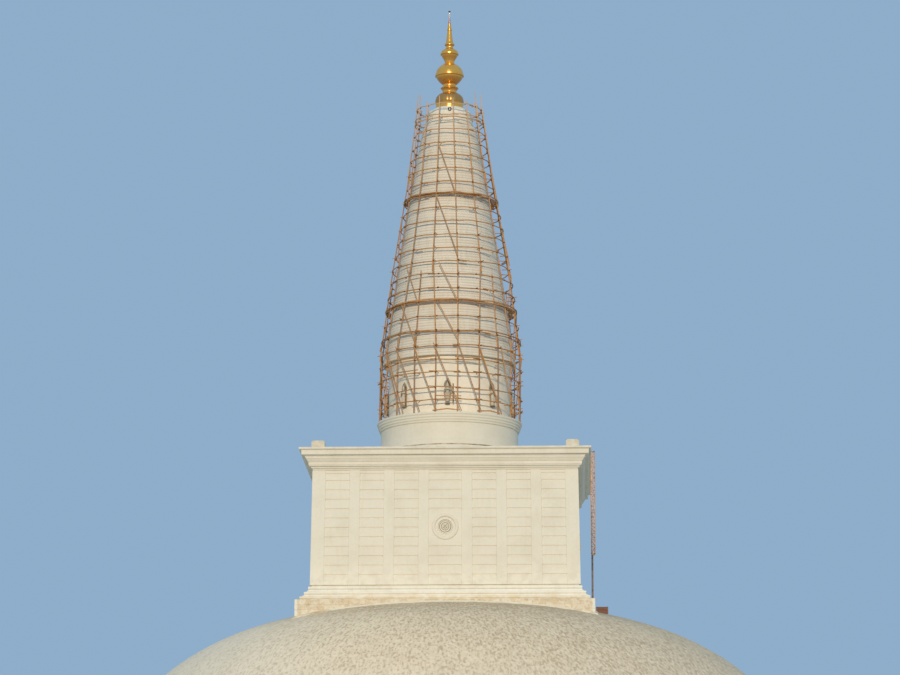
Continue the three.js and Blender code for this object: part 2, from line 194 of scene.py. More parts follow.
def tone_of(place):
    """The shade that each face was given when it was modelled."""
    return place.node("Attribute", {"attribute_name": "tone"}, {}, "Fac")


def between(value, low, high):
    """0 below low, 1 above high, and a smooth rise from one to the other."""
    return value.node("MapRange", {"interpolation_type": "SMOOTHSTEP"},
                      {"Value": value, "From Min": low, "From Max": high})


def mixed(share, first, second):
    """The first colour, with this share of the second one laid over it."""
    return share.node("Mix", {"data_type": "RGBA"}, {0: share, 6: first, 7: second}, 2)


def coat(shader, colour, roughness, height, depth):
    """Wires colour, roughness and relief to a shader. Depth is the height of the relief in metres."""
    bump = height.node("Bump", {}, {"Height": height, "Distance": depth * metre}, "Normal")
    for name, wire in (("Base Color", colour), ("Roughness", roughness), ("Normal", bump)):
        wire.tree.links.new(wire.socket, shader.inputs[name])


def limewash(name, clean, dingy, stain, stain_low, stain_high, relief=0.03, wear=1.0, dirt=None):
    """Limewash over plaster: soft blotches, a fine mottle, faint runs below each ledge and a sandy
    grain. The stain gathers in patches as the level goes from stain_low to stain_high, and the dirt
    colour fills the faces that have a tone; on the lotus and the guardians it is dirt and painted shade."""
    material, shader, place = new_finish(name)
    blotches = between(cloud(place, 0.5, 5), 0.42, 0.7)
    mottle = between(cloud(place, 3.5, 4), 0.35, 0.7)
    runs = between(drawn_out(place, (4.5, 4.5, 0.35)), 0.52, 0.74)
    patches = between(cloud(place, 1.6, 5), 0.36, 0.62)
    stained = between(place.axis("Z"), stain_low, stain_high) * patches
    colour = mixed(blotches * (0.45 * wear) + mottle * (0.2 * wear), clean, dingy)
    colour = mixed(runs * (0.28 * wear), colour, dingy)
    colour = mixed(stained * 0.8, colour, stain)
    if dirt:
        colour = mixed(tone_of(place) * (mottle * 0.3 + 0.7), colour, dirt)
    grain = cloud(place, 30)
    coat(shader, colour, grain * 0.25 + 0.65, grain * 0.25 + cloud(place, 5) * 0.75, relief)
    return material


white = paint(236, 228, 207)
dull_white = paint(208, 197, 170)
earth_stain = paint(150, 132, 96)
terrace_wash = limewash("terrace_limewash", white, dull_white, earth_stain, 1.2, -0.2)

for node in ("lower_terrace", "middle_terrace", "upper_terrace"):
    low, high = real_box(node)
    foot = at(high.x, low.z, terrace_foot)
    lip = at(high.x, high.z, terrace_lip)
    terrace = turned([(0, low.z), *foot, *lip, (0, high.z)], terrace_steps, 0.03)
    finished(node + "_masonry", terrace, terrace_wash, [node])

# Dome: solid brickwork plastered and limewashed in one bubble-shaped skin, steep at the foot and
# nearly flat on its crown, where the footing of the chamber is let in. Rain has greyed and pitted
# the crown. It runs down the sides in long streaks, and the limewash there is whiter. Painted shade
# darkens the right side of the dome, and painted light lightens its left side.
dome_top = 47.7
dome_exponent = 3.1
dome_rows = 110
dome_steps = 240
crown_level = 43
hand_finish = 0.05
footing_low, footing_high = real_box("plinth_footing")
footing_half = footing_high.x
seat_level = footing_low.z - 0.02
seat_half = footing_half + 0.03
dome_low, dome_high = real_box("dome")
springing = dome_low.z
dome_middle = (dome_low.x + dome_high.x) / 2
dome_side = (dome_high.x - dome_low.x) / 2


def dome_level(x, y):
    """The level of the dome's skin over a point. The dome stands a little to the right of the axis."""
    share = 1 - (math.hypot(x - dome_middle, y) / dome_side) ** dome_exponent
    return springing + (dome_top - springing) * share ** (1 / dome_exponent)


def cut_across(body, faces, point, way):
    """Cuts some faces along a plane through the point, and gives the faces that they become."""
    geometry = list(faces)
    geometry += list({edge for face in faces for edge in face.edges})
    geometry += list({vert for face in faces for vert in face.verts})
    made = bmesh.ops.bisect_plane(body, geom=geometry, plane_co=point, plane_no=way)
    return [part for part in made["geom"] if isinstance(part, bmesh.types.BMFace)]


def open_rim(body):
    """The edges round the openings of a body."""
    return [edge for edge in body.edges if edge.is_boundary]


def drawn_from_rim(body):
    """Extrudes the open rim of a body where it is, and gives the new corners."""
    made = bmesh.ops.extrude_edge_only(body, edges=open_rim(body))["geom"]
    return [part for part in made if isinstance(part, bmesh.types.BMVert)]


dome_outline = [(0, springing)]
for row in range(dome_rows):
    angle = row / dome_rows * math.pi / 2
    dome_radius = dome_side * math.cos(angle) ** (2 / dome_exponent)
    dome_outline.append((dome_radius, dome_level(dome_middle + dome_radius, 0)))
dome_outline.append((0, dome_top))
dome = turned(dome_outline, dome_steps)
bmesh.ops.translate(dome, vec=(dome_middle, 0, 0), verts=dome.verts)

for way in ((1, 0, 0), (-1, 0, 0), (0, 1, 0), (0, -1, 0)):
    crown = [face for face in dome.faces if face.calc_center_median().z > crown_level]
    cut_across(dome, crown, Vector(way) * seat_half, way)
over_seat = []
for face in dome.faces:
    middle = face.calc_center_median()
    if middle.z > crown_level and max(abs(middle.x), abs(middle.y)) < seat_half:
        over_seat.append(face)
bmesh.ops.delete(dome, geom=over_seat, context="FACES")
for vert in dome.verts:
    if vert.co.z > springing + 0.1 and not vert.is_boundary:
        vert.co -= vert.normal * hand_finish * (0.5 + 0.5 * noise.noise(vert.co * 0.35))
for vert in drawn_from_rim(dome):
    vert.co.z = seat_level
bmesh.ops.holes_fill(dome, edges=open_rim(dome))
closed(dome)

dome_wash, shader, place = new_finish("dome_limewash")
outward = place.vector("NORMALIZE", place.vector("MULTIPLY", place, (1, 1, 0)))
down_skin = place.vector("MULTIPLY", place, (0.6, 0.6, 1.1))
along_skin = place.vector("MULTIPLY_ADD", outward, (30, 30, 30), down_skin)
straight_down = place.vector("MULTIPLY", place, (0, 0, 0.12))
long_runs = place.vector("MULTIPLY_ADD", outward, (52, 52, 0), straight_down)
level = place.axis("Z")
painted_light_across = place.axis("X")
streaks = between(cloud(along_skin, 1.6, 5), 0.42, 0.66)
speckle = cloud(along_skin, 2.9, 6) * 0.6 + cloud(place, 4, 6) * 0.4
blotches = between(cloud(place, 0.3, 5), 0.4, 0.68)
bands = between(drawn_out(place, (0.25, 0.25, 5)), 0.3, 0.65)
greyed = between(level, 44.3, 46.9) * (bands * 0.5 + 0.5)
flank = between(level, 43.5, 33)
pitted = 1 - flank * 0.6
colour = mixed(streaks * 0.3 + blotches * 0.25, paint(249, 228, 192), paint(216, 193, 155))
colour = mixed(flank * 0.75, colour, paint(240, 231, 210))
colour = mixed(between(cloud(long_runs, 1, 4), 0.5, 0.7) * flank * 0.4, colour, paint(206, 194, 166))
# Painted shade: the right side of the dome is darkened as the light falls, on top of the grey of the crown.
colour = mixed(greyed * 0.55 + between(painted_light_across, -16, 20) * pitted * 0.3, colour, paint(162, 143, 113))
colour = mixed(between(speckle, 0.5, 0.6) * pitted * 0.46, colour, paint(154, 132, 100))
colour = mixed(between(speckle, 0.5, 0.4) * pitted * 0.42, colour, paint(255, 244, 216))
# Painted light: the left side of the dome is lightened as the light falls.
colour = mixed(between(painted_light_across, -6, -20) * pitted * 0.35, colour, paint(255, 246, 222))
coat(shader, colour, cloud(place, 12) * 0.2 + 0.75, speckle * 0.7 + cloud(place, 6) * 0.3, 0.1)
finished("weathered_dome", dome, dome_wash, ["dome"])

# Frontispieces: an altar of plastered masonry on each of the four sides, built up against the foot
# of the dome. Each has a moulded base, a panelled body with pilasters, and a cornice with an attic.
altar_back = 33.6
altar_tiers = [
    (6.0, 38.9, 6.01, 6.45), (5.9, 38.8, 6.45, 6.6), (5.75, 38.68, 6.6, 6.8), (5.6, 38.58, 6.8, 7.1),
    (5.4, 38.4, 7.1, 7.6), (5.3, 38.3, 7.6, 8.0), (5.42, 38.4, 8.0, 8.16), (5.25, 38.2, 8.16, 10.9),
    (5.42, 38.4, 10.9, 11.06), (5.35, 38.3, 11.06, 11.4), (5.6, 38.55, 11.4, 11.6),
    (5.75, 38.68, 11.6, 11.85), (5.9, 38.8, 11.85, 12.2), (4.4, 37.95, 12.2, 12.5),
    (4.3, 37.85, 12.5, 13.8), (4.6, 38.1, 13.8, 14.05), (4.9, 38.4, 14.05, 14.5),
]
pilasters = [
    (6, 1.96, 0.3, 38.3, 8.16, 10.9), (6, 1.96, 0.36, 38.36, 8.16, 8.4), (6, 1.96, 0.36, 38.36, 10.62, 10.9),
]
panels = [(5, 1.98, 0.5, 38.26, 8.75, 10.2), (9, 0.95, 0.3, 37.93, 12.75, 13.55)]
dentil_count = 24
dentil_spacing = 11 / 23


def add_block(body, low, high, easing=0.02):
    """Adds a block of masonry between two corners, with its edges a little rounded."""
    low, high = Vector(low), Vector(high)
    place = Matrix.Translation((low + high) / 2) @ Matrix.Diagonal((*(high - low), 1))
    made = bmesh.ops.create_cube(body, size=1, matrix=place)
    edges = list({edge for vert in made["verts"] for edge in vert.link_edges})
    bmesh.ops.bevel(body, geom=edges, offset=easing, offset_type="OFFSET", affect="EDGES", segments=1,
                    profile=0.5, material=-1)


def swing(body, turn):
    """Turns a body about the axis, from the front to another side."""
    bmesh.ops.rotate(body, cent=(0, 0, 0), matrix=Matrix.Rotation(turn, 3, "Z"), verts=body.verts)


def frontispiece(turn):
    """The tiers are given as (half width, front, foot, top), and the rows of pilasters and panels as
    (count, spacing, half width, front, foot, top)."""
    body = bmesh.new()
    for half, front, foot, top in altar_tiers:
        add_block(body, (-half, -front, foot), (half, -altar_back, top))
    for count, spacing, half, front, foot, top in pilasters + panels:
        for index in range(count):
            middle = (index - (count - 1) / 2) * spacing
            add_block(body, (middle - half, -front, foot), (middle + half, -altar_back, top))
    for index in range(dentil_count):
        middle = (index - (dentil_count - 1) / 2) * dentil_spacing
        add_block(body, (middle - 0.14, -38.66, 11.6), (middle + 0.14, -38.5, 11.8), 0.01)
    swing(body, turn)
    return body


altar_wash = limewash("altar_limewash", white, dull_white, earth_stain, 8.5, 5.8)
quarter_turns = {"front": 0, "right": math.pi / 2, "back": math.pi, "left": -math.pi / 2}
for side, turn in quarter_turns.items():
    finished(side + "_altar", frontispiece(turn), altar_wash, [side + "_frontispiece"])

# Footing: courses of soft pale stone under the square chamber, sunk into the crown of the dome. Rain
# has washed much of the limewash off them, so yellow and pink stone shows in patches.
# A fillet of lime mortar seals the foot of the stones against the dome.
stone_high = 0.42
stone_joint = 0.02
core_half = footing_half - 0.035
stone_lengths = (0.55, 1.15)
last_stone = 0.5
random.seed(5)

footing = bmesh.new()
footing.faces.layers.float.new("tone")
add_block(footing, (-core_half, -core_half, footing_low.z), (core_half, core_half, footing_high.z - 0.01))


def tone_new(body, layer, before, tone):
    """Gives one shade to the faces that a body has got since it had so many."""
    body.faces.ensure_lookup_table()
    for index in range(before, len(body.faces)):
        body.faces[index][layer] = tone


def join(body, part):
    """Adds one body to another and frees it."""
    mesh = bpy.data.meshes.new("part")
    part.to_mesh(mesh)
    part.free()
    body.from_mesh(mesh)
    bpy.data.meshes.remove(mesh)


def lay_course(body, layer, foot, top):
    """Lays one course of stones of uneven length and depth along the front."""
    left = -footing_half
    while left < footing_half - 0.01:
        right = left + random.uniform(*stone_lengths)
        if right > footing_half - last_stone:
            right = footing_half
        proud = random.uniform(0, 0.03)
        before = len(body.faces)
        corner_low = (left + stone_joint / 2, -footing_half + proud, foot + stone_joint / 2)
        corner_high = (right - stone_joint / 2, -core_half + 0.02, top - stone_joint / 2)
        add_block(body, corner_low, corner_high, random.uniform(0.01, 0.02))
        tone_new(body, layer, before, random.random())
        left = right


for turn in quarter_turns.values():
    course = bmesh.new()
    course_tone = course.faces.layers.float.new("tone")
    foot = footing_low.z
    while foot < footing_high.z - 0.05:
        lay_course(course, course_tone, foot, min(foot + stone_high, footing_high.z))
        foot += stone_high
    swing(course, turn)
    join(footing, course)

footing_stone, shader, place = new_finish("footing_stone")
pits = cloud(place, 6, 5)
bare = between(cloud(place, 1.9, 6), 0.46, 0.6)
pink = between(cloud(place.vector("ADD", place, (7, 3, 1)), 2.2, 5), 0.52, 0.66)
offset = place.vector("ABSOLUTE", place)
nearer = offset.maths("MINIMUM", offset.axis("X"), offset.axis("Y"))
corner = between(nearer, footing_half - 0.3, footing_half - 0.2)
colour = mixed(tone_of(place) * 0.35, paint(238, 227, 202), paint(216, 201, 168))
colour = mixed(bare * 0.5, colour, paint(212, 188, 144))
colour = mixed(pink * 0.35, colour, paint(212, 186, 160))
colour = mixed(between(pits, 0.54, 0.7) * 0.4, colour, paint(172, 148, 112))
colour = mixed(corner * 0.8, colour, paint(242, 238, 222))
coat(shader, colour, pits * 0.2 + 0.75, pits, 0.07)
finished("footing_stones", footing, footing_stone, ["plinth_footing"])

fillet = bmesh.new()
fillet_steps = 60
fillet_profile = ((-0.02, 0.1), (0.1, 0.08), (0.24, 0), (0.24, -0.2), (-0.02, -0.2))
rings = []
for out, rise in fillet_profile:
    ring = []
    for turn in quarter_turns.values():
        for step in range(fillet_steps):
            reach = footing_half + out
            point = Vector(((step / fillet_steps * 2 - 1) * reach, -reach, 0))
            point.rotate(Matrix.Rotation(turn, 3, "Z"))
            point.z = dome_level(point.x, point.y) + rise * (1 + 0.4 * noise.noise(point * 1.7))
            ring.append(fillet.verts.new(point))
    rings.append([fillet.edges.new((ring[index - 1], ring[index])) for index in range(len(ring))])
for index, ring in enumerate(rings):
    bmesh.ops.bridge_loops(fillet, edges=ring + rings[index - 1])
closed(fillet)
fillet_mortar = limewash("fillet_mortar", paint(248, 241, 216), paint(230, 216, 180),
                         paint(196, 168, 116), 46.5, 46.2)
finished("mortar_fillet", fillet, fillet_mortar, [])

# Plinth: three plastered courses on the footing, each a soft roll over a fillet, stepping back to
# the foot of the wall. The lowest one has taken the colour of the stones.
def squared(outline, easing=0.02):
    """A square body with the outline of (half width, level) points on each of its four sides."""
    body = turned([(half * math.sqrt(2), level) for half, level in outline], 4, easing)
    swing(body, math.pi / 4)
    return body


def roll(half, level, radius, start, end, steps=5):
    """Points on a round moulding about its middle, from one angle to the other, in degrees."""
    angles = [math.radians(start + (end - start) * step / steps) for step in range(steps + 1)]
    return [(half + radius * math.cos(angle), level + radius * math.sin(angle)) for angle in angles]


plinth_wash = limewash("plinth_limewash", paint(250, 244, 226), paint(228, 218, 192),
                       paint(236, 216, 176), 48.1, 47.4)
for node in ("plinth_lower_course", "plinth_middle_course", "plinth_upper_course"):
    low, high = real_box(node)
    half = high.x
    height = high.z - low.z
    course = squared([
        (0, low.z), (half - 0.02, low.z), (half - 0.02, low.z + height * 0.22),
        *roll(half - height * 0.28, low.z + height * 0.5, height * 0.28, -90, 90),
        (half - height * 0.5, low.z + height * 0.8), (half - height * 0.62, high.z), (0, high.z),
    ], 0)
    finished(node + "_moulding", course, plinth_wash, [node])

# Chamber walls: plastered brick that leans inwards a little. Each wall has seven sunken bays between
# flat pilasters. The plaster in the bays is scored in blocks, and the middle bay has a plain panel.
wall_low, wall_high = real_box("front_wall")
wall_half = wall_high.x
wall_foot, wall_top = wall_low.z, wall_high.z
wall_half_at_top = 11.42
wall_thickness = 0.9
pilaster_width = 0.88
centre_bay = 2.86
side_bay = 2.12
reveal = 0.03
bay_sunk = 0.05
first_groove = 49.58
block_course = 0.818
groove_levels = [first_groove + block_course * course for course in range(11)] + [58.37]
panel_foot, panel_top = groove_levels[3], groove_levels[7]
groove_half = 0.065
groove_depth = 0.07

bay_edges = [(-centre_bay / 2, centre_bay / 2)]
for bay in range(3):
    inner = centre_bay / 2 + pilaster_width + bay * (side_bay + pilaster_width)
    bay_edges += [(inner, inner + side_bay), (-inner - side_bay, -inner)]


def chamber_wall(turn):
    """One wall: an upright sheet with its bays sunk and scored, given its thickness and then its lean."""
    body = bmesh.new()
    corners = (
        (-wall_half, wall_foot), (wall_half, wall_foot), (wall_half, wall_top), (-wall_half, wall_top),
    )
    faces = [body.faces.new([body.verts.new((x, -wall_half, z)) for x, z in corners])]
    for left, right in bay_edges:
        faces = cut_across(body, faces, (left, 0, 0), (1, 0, 0))
        faces = cut_across(body, faces, (right, 0, 0), (1, 0, 0))
    for left, right in bay_edges:
        bay = [face for face in body.faces if left < face.calc_center_median().x < right]
        bmesh.ops.inset_region(body, faces=bay, thickness=reveal, depth=-bay_sunk, use_even_offset=True,
                               use_boundary=True)
        scored = []
        for groove in groove_levels:
            if left < 0 < right and panel_foot < groove < panel_top:
                continue
            for edge_level in (groove - groove_half, groove + groove_half):
                bay = cut_across(body, bay, (0, 0, edge_level), (0, 0, 1))
            scored += [face for face in bay if abs(face.calc_center_median().z - groove) < groove_half / 2]
        bmesh.ops.inset_individual(body, faces=scored, thickness=groove_half * 0.6, depth=-groove_depth,
                                   use_even_offset=True)
    inner = wall_half - wall_thickness
    for vert in drawn_from_rim(body):
        vert.co.x *= inner / wall_half
        vert.co.y = -inner
    bmesh.ops.holes_fill(body, edges=open_rim(body))
    closed(body)
    for vert in body.verts:
        rise = (vert.co.z - wall_foot) / (wall_top - wall_foot)
        share = 1 - (1 - wall_half_at_top / wall_half) * rise
        vert.co.x *= share
        vert.co.y *= share
    swing(body, turn)
    return body


wall_wash = limewash("wall_limewash", white, dull_white, paint(244, 238, 216), 51.5, 48.6, 0.012, 0.45)
for side, turn in quarter_turns.items():
    finished(side + "_facing", chamber_wall(turn), wall_wash, [side + "_wall"], 12)
core_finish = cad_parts["chamber_core"].data.materials
core_finish.clear()
core_finish.append(wall_wash)

# Medallions: a round lotus of moulded plaster on the plain panel in the middle of each wall. A broad
# soft ring frames a dished flat with petals, and a bead frames a boss of four round petals.
petal_count = 16
# Rings of the lotus darkened with dirt and painted shade, as (inner radius, outer radius, shade).
dirt_and_shade_rings = (
    (0, 0.22, 0.6), (0.29, 0.36, 0.6), (0.47, 0.59, 1), (0.8, 0.85, 0.25), (1.15, 1.3, 0.2),
)
medallion_low, medallion_high = real_box("front_medallion")
medallion_level = (medallion_low.z + medallion_high.z) / 2


def add_petals(body, count, ring, size):
    """Adds a ring of rounded petals that point away from the middle."""
    for index in range(count):
        place = Matrix.Rotation(math.tau * index / count, 4, "Z") @ Matrix.Translation(ring)
        bmesh.ops.create_uvsphere(body, u_segments=8, v_segments=6, radius=1,
                                  matrix=place @ Matrix.Diagonal((*size, 1)))


def medallion(turn):
    """One lotus, turned lying on its back and then hung on its wall. Dirt and painted shade lie between its
    rings.
    """
    rim = roll(1.0, 0.02, 0.16, 0, 180, 10)
    bead = roll(0.42, 0.06, 0.08, 0, 180, 6)
    body = turned([
        (0, 0), (1.19, 0), (1.19, 0.03), *rim, (0.82, 0.02), (0.76, 0.06), (0.62, 0.08), (0.56, 0.0), *bead,
        (0.33, 0.01), (0.31, 0.1), (0.28, 0.14), (0.22, 0.12), (0.1, 0.11), (0, 0.11),
    ], 64)
    tone = body.faces.layers.float.new("tone")
    for face in body.faces:
        reach = face.calc_center_median().xy.length
        for inner, outer, shade in dirt_and_shade_rings:
            if inner < reach < outer:
                face[tone] = shade
    add_petals(body, petal_count, (0.68, 0, 0.07), (0.085, 0.06, 0.035))
    add_petals(body, 4, (0, 0.145, 0.14), (0.075, 0.095, 0.1))
    hung = Matrix.Translation((0, medallion_high.y + 0.02, medallion_level))
    place = Matrix.Rotation(turn, 4, "Z") @ hung @ Matrix.Rotation(math.pi / 2, 4, "X")
    bmesh.ops.transform(body, matrix=place, verts=body.verts)
    return body


# Its dirt colour also paints the shade between the rings.
lotus_wash = limewash("lotus_limewash", white, dull_white, dull_white, 0, -1, 0.01, 0.5,
                      paint(126, 114, 88))
for side, turn in quarter_turns.items():
    finished(side + "_lotus", medallion(turn), lotus_wash, [side + "_medallion"])

# Cornice: four plastered courses that step out from the top of the wall: a hollow bed mould, a flat
# fillet, a cyma, and a corona with a lip, which is the edge of the flat roof. A small block with a
# cap stands on it at each corner of the roof.
cornice_profiles = {
    "cornice_bed_course": [(-0.2, 0), (-0.14, 0.06), *roll(0, 0.06, 0.14, 180, 90, 4)],
    "cornice_fillet_course": [(-0.06, 0), (-0.06, 0.08), (0, 0.1)],
    "cornice_cyma_course": [
        (-0.24, 0), (-0.24, 0.06), (-0.2, 0.09), (-0.17, 0.15), (-0.13, 0.22), (-0.07, 0.28), (-0.05, 0.35),
        (-0.05, 0.39), (0, 0.42)],
    "cornice_corona": [(-0.3, 0), (-0.22, 0.04), (-0.22, 0.38), (-0.16, 0.43), (-0.04, 0.46), (0, 0.5)],
}
cornice_wash = limewash("cornice_limewash", white, dull_white, dull_white, 60.4, 60.56, 0.02, 0.6)
corona_top = 60.54
corner_place = 10.95
corner_half = 0.575
corner_high = 0.76
for node, profile in cornice_profiles.items():
    low, high = real_box(node)
    top = min(high.z, corona_top)
    course = squared([(0, low.z), *at(high.x, low.z, profile), (high.x, top), (0, top)], 0.012)
    if node == "cornice_corona":
        for turn in quarter_turns.values():
            x, y = Vector((corner_place, -corner_place)) @ Matrix.Rotation(turn, 2)
            tiers = ((corner_half, -0.05, corner_high - 0.1),
                     (corner_half - 0.1, corner_high - 0.12, corner_high))
            for half, foot, head in tiers:
                add_block(course, (x - half, y - half, corona_top + foot),
                          (x + half, y + half, corona_top + head), 0.03)
    finished(node + "_moulding", course, cornice_wash, [node])

# Drums: a step on the roof, a plain round drum, and a ledge of four fillets on which the scaffold
# stands. They are plastered brick, limewashed like the walls, and dirt lies in a break of the step.
drum_steps = 144
drum_wash = limewash("drum_limewash", paint(230, 222, 201), dull_white, dull_white, 61.2, 60.5, 0.02, 0.5,
                     paint(104, 80, 54))
dirt_low, dirt_high = 61.82, 61.93
step_low, step_high = real_box("drum_step")
drum_step = turned([
    (0, step_low.z), (step_high.x, step_low.z), (step_high.x, dirt_low), (step_high.x - 0.05, dirt_high),
    (step_high.x - 0.05, step_high.z - 0.03), (step_high.x - 0.08, step_high.z), (0, step_high.z),
], drum_steps)
dirt = drum_step.faces.layers.float.new("tone")
for face in drum_step.faces:
    if dirt_low < face.calc_center_median().z < dirt_high:
        face[dirt] = 0.85 + 0.8 * noise.noise(face.calc_center_median() * 1.3)
finished("drum_step_masonry", drum_step, drum_wash, ["drum_step"])

drum_low, drum_high = real_box("lower_drum")
drum_side = drum_high.x
lower_drum = turned([
    (0, drum_low.z), (drum_side, drum_low.z), (drum_side - 0.06, drum_low.z + 0.1),
    (drum_side - 0.1, drum_low.z + 0.5), (drum_side - 0.1, drum_high.z), (0, drum_high.z),
], drum_steps)
finished("lower_drum_masonry", lower_drum, drum_wash, ["lower_drum"])

ledge_low, ledge_high = real_box("drum_ledge")
ledge_top = ledge_high.z
ledge_outline = [(0, ledge_low.z)]
foot = ledge_low.z
ledge_fillets = (
    (6.2, 64.05, 0.02), (6.29, 64.29, 0.05), (6.37, 64.51, 0.02), (ledge_high.x, ledge_top, 0.04),
)
for side, top, undercut in ledge_fillets:
    ledge_outline += at(side, foot, ((-undercut, 0), (-undercut, 0.03), (0, 0.05)))
    ledge_outline.append((side, top - 0.02))
    foot = top
ledge_outline += [(ledge_high.x - 0.04, ledge_top), (0, ledge_top)]
ledge = turned(ledge_outline, drum_steps)
finished("drum_ledge_moulding", ledge, drum_wash, ["drum_ledge"])

# Figure drum: a plain recessed drum with eight guardian deities standing round it in high relief.
# Each is modelled in plaster on a lotus bracket, crowned, with a halo behind and a staff at the side.
figure_foot = 65.62
figure_build = Matrix.Diagonal((0.95, 0.95, 0.86, 1))
staff_reach = 1.6
figure_turns = [math.tau * index / 8 for index in range(8)]
figure_low, figure_high = real_box("figure_drum")
figure_drum_side = 5.4


def ball(body, place, size, segments=14):
    """Adds an egg-shaped lump of plaster, with its size given as half of each measure."""
    bmesh.ops.create_uvsphere(body, u_segments=segments, v_segments=segments // 2 + 2, radius=1,
                              matrix=Matrix.Translation(place) @ Matrix.Diagonal((*size, 1)))


def spanning(start, end):
    """A matrix that sets a shape upright between two points, and how far apart they are."""
    start, end = Vector(start), Vector(end)
    along = end - start
    turn = along.to_track_quat("Z", "Y").to_matrix().to_4x4()
    return Matrix.Translation((start + end) / 2) @ turn, along.length


def limb(body, start, end, thick, thin, segments=10):
    """A round tapered limb between two joints, with a ball in each."""
    place, length = spanning(start, end)
    bmesh.ops.create_cone(body, cap_ends=True, segments=segments, radius1=thick, radius2=thin,
                          depth=length, matrix=place)
    ball(body, start, (thick, thick, thick), segments)
    ball(body, end, (thin, thin, thin), segments)


def add_turned(body, outline, steps, place):
    """Adds a turned part to a body, moved by a matrix."""
    part = turned(outline, steps)
    bmesh.ops.transform(part, matrix=place, verts=part.verts)
    join(body, part)


def guardian():
    """One standing deity facing the front, 2.2 m tall to the tip of its crown before it is fitted."""
    body = bmesh.new()
    tone = body.faces.layers.float.new("tone")
    flat = Matrix.Diagonal((1, 0.72, 1, 1))
    upright = Matrix.Rotation(math.pi / 2, 4, "X")
    add_turned(body, [(0, -0.12), (0.16, -0.12), (0.25, -0.07), (0.22, -0.04), (0.24, 0), (0, 0)], 20,
               Matrix.Diagonal((1, 0.85, 1, 1)))
    # The lotus bracket, just added, is painted darkest: dirt and painted shade under the figure.
    tone_new(body, tone, 0, 1)
    robe = [
        (0, 0.02), (0.2, 0.02), (0.21, 0.05), (0.17, 0.12), (0.16, 0.4), (0.185, 0.7), (0.215, 0.92),
        (0.2, 1.04), (0.155, 1.13), (0.165, 1.2), (0.2, 1.36), (0.225, 1.48), (0.19, 1.57), (0.08, 1.62),
        (0.055, 1.66), (0.055, 1.74), (0, 1.76),
    ]
    add_turned(body, robe, 24, flat)
    for side in (-1, 1):
        ball(body, (side * 0.085, -0.13, 0.035), (0.055, 0.12, 0.045), 10)
        limb(body, (side * 0.08, -0.06, 0.12), (side * 0.1, -0.07, 0.86), 0.07, 0.1)
        ball(body, (side * 0.235, -0.01, 1.5), (0.075, 0.07, 0.07))
        limb(body, (side * 0.24, -0.01, 1.48), (side * 0.31, 0, 1.2), 0.062, 0.05)
        ball(body, (side * 0.096, -0.01, 1.83), (0.02, 0.03, 0.055), 8)
        limb(body, (side * 0.1, 0, 1.78), (side * 0.11, -0.01, 1.7), 0.016, 0.02, 8)
        ball(body, (side * 0.036, -0.099, 1.845), (0.021, 0.014, 0.009), 8)
        ball(body, (side * 0.038, -0.1, 1.868), (0.028, 0.012, 0.006), 8)
    limb(body, (-0.31, 0, 1.2), (-0.13, -0.2, 1.34), 0.048, 0.036)
    ball(body, (-0.11, -0.22, 1.38), (0.04, 0.03, 0.06), 10)
    limb(body, (0.31, 0, 1.2), (0.36, -0.16, 1.1), 0.048, 0.038)
    ball(body, (0.37, -0.18, 1.1), (0.05, 0.05, 0.055), 10)
    for level, width in ((1.1, 0.17), (0.52, 0.185), (1.42, 0.2)):
        belt = at(0, level, ((0, -0.02), (width, -0.02), (width + 0.025, 0), (width, 0.02), (0, 0.02)))
        add_turned(body, belt, 24, flat)
    for fold in range(-2, 3):
        limb(body, (fold * 0.03, -0.14, 1.08), (fold * 0.055, -0.155, 0.06), 0.016, 0.02, 6)
    ball(body, (0, -0.005, 1.83), (0.092, 0.105, 0.125), 18)
    limb(body, (0, -0.1, 1.855), (0, -0.112, 1.82), 0.009, 0.016, 8)
    ball(body, (0, -0.098, 1.788), (0.024, 0.012, 0.008), 8)
    ball(body, (0, -0.078, 1.745), (0.035, 0.028, 0.022), 10)
    crown = [
        (0, 1.88), (0.108, 1.88), (0.118, 1.91), (0.1, 1.94), (0.095, 2.0), (0.072, 2.02), (0.066, 2.08),
        (0.045, 2.1), (0.035, 2.15), (0.015, 2.2), (0, 2.21),
    ]
    add_turned(body, crown, 18, Matrix.Identity(4))
    # The halo and its rays, which follow, are painted dark: dirt and painted shade behind the head.
    modelled = len(body.faces)
    halo = [(0, 0), (0.3, 0), (0.32, 0.03), (0.3, 0.06), (0.26, 0.03), (0, 0.03)]
    add_turned(body, halo, 36, Matrix.Translation((0, 0.14, 1.86)) @ upright)
    for side in (-1, 1):
        for step in range(6):
            foot = Vector((side * 0.3 * math.cos(step * 0.26), 0.1, 1.86 + 0.3 * math.sin(step * 0.26)))
            head = foot * 1.02 + Vector((-side * 0.02 * step, 0, 0.14 + 0.05 * step))
            limb(body, foot, head, 0.045, 0.012, 6)
    tone_new(body, tone, modelled, 0.8)
    # The block behind the figure and the backs of the arms, which follow, are painted dark: dirt and painted
    # shade behind the body.
    modelled = len(body.faces)
    add_block(body, (-0.2, 0.02, 0.0), (0.2, 0.3, 1.7), 0.05)
    for side in (-1, 1):
        limb(body, (side * 0.31, 0.06, 1.2), (side * 0.25, 0.06, 0.5), 0.045, 0.03, 8)
    tone_new(body, tone, modelled, 0.8)
    return body


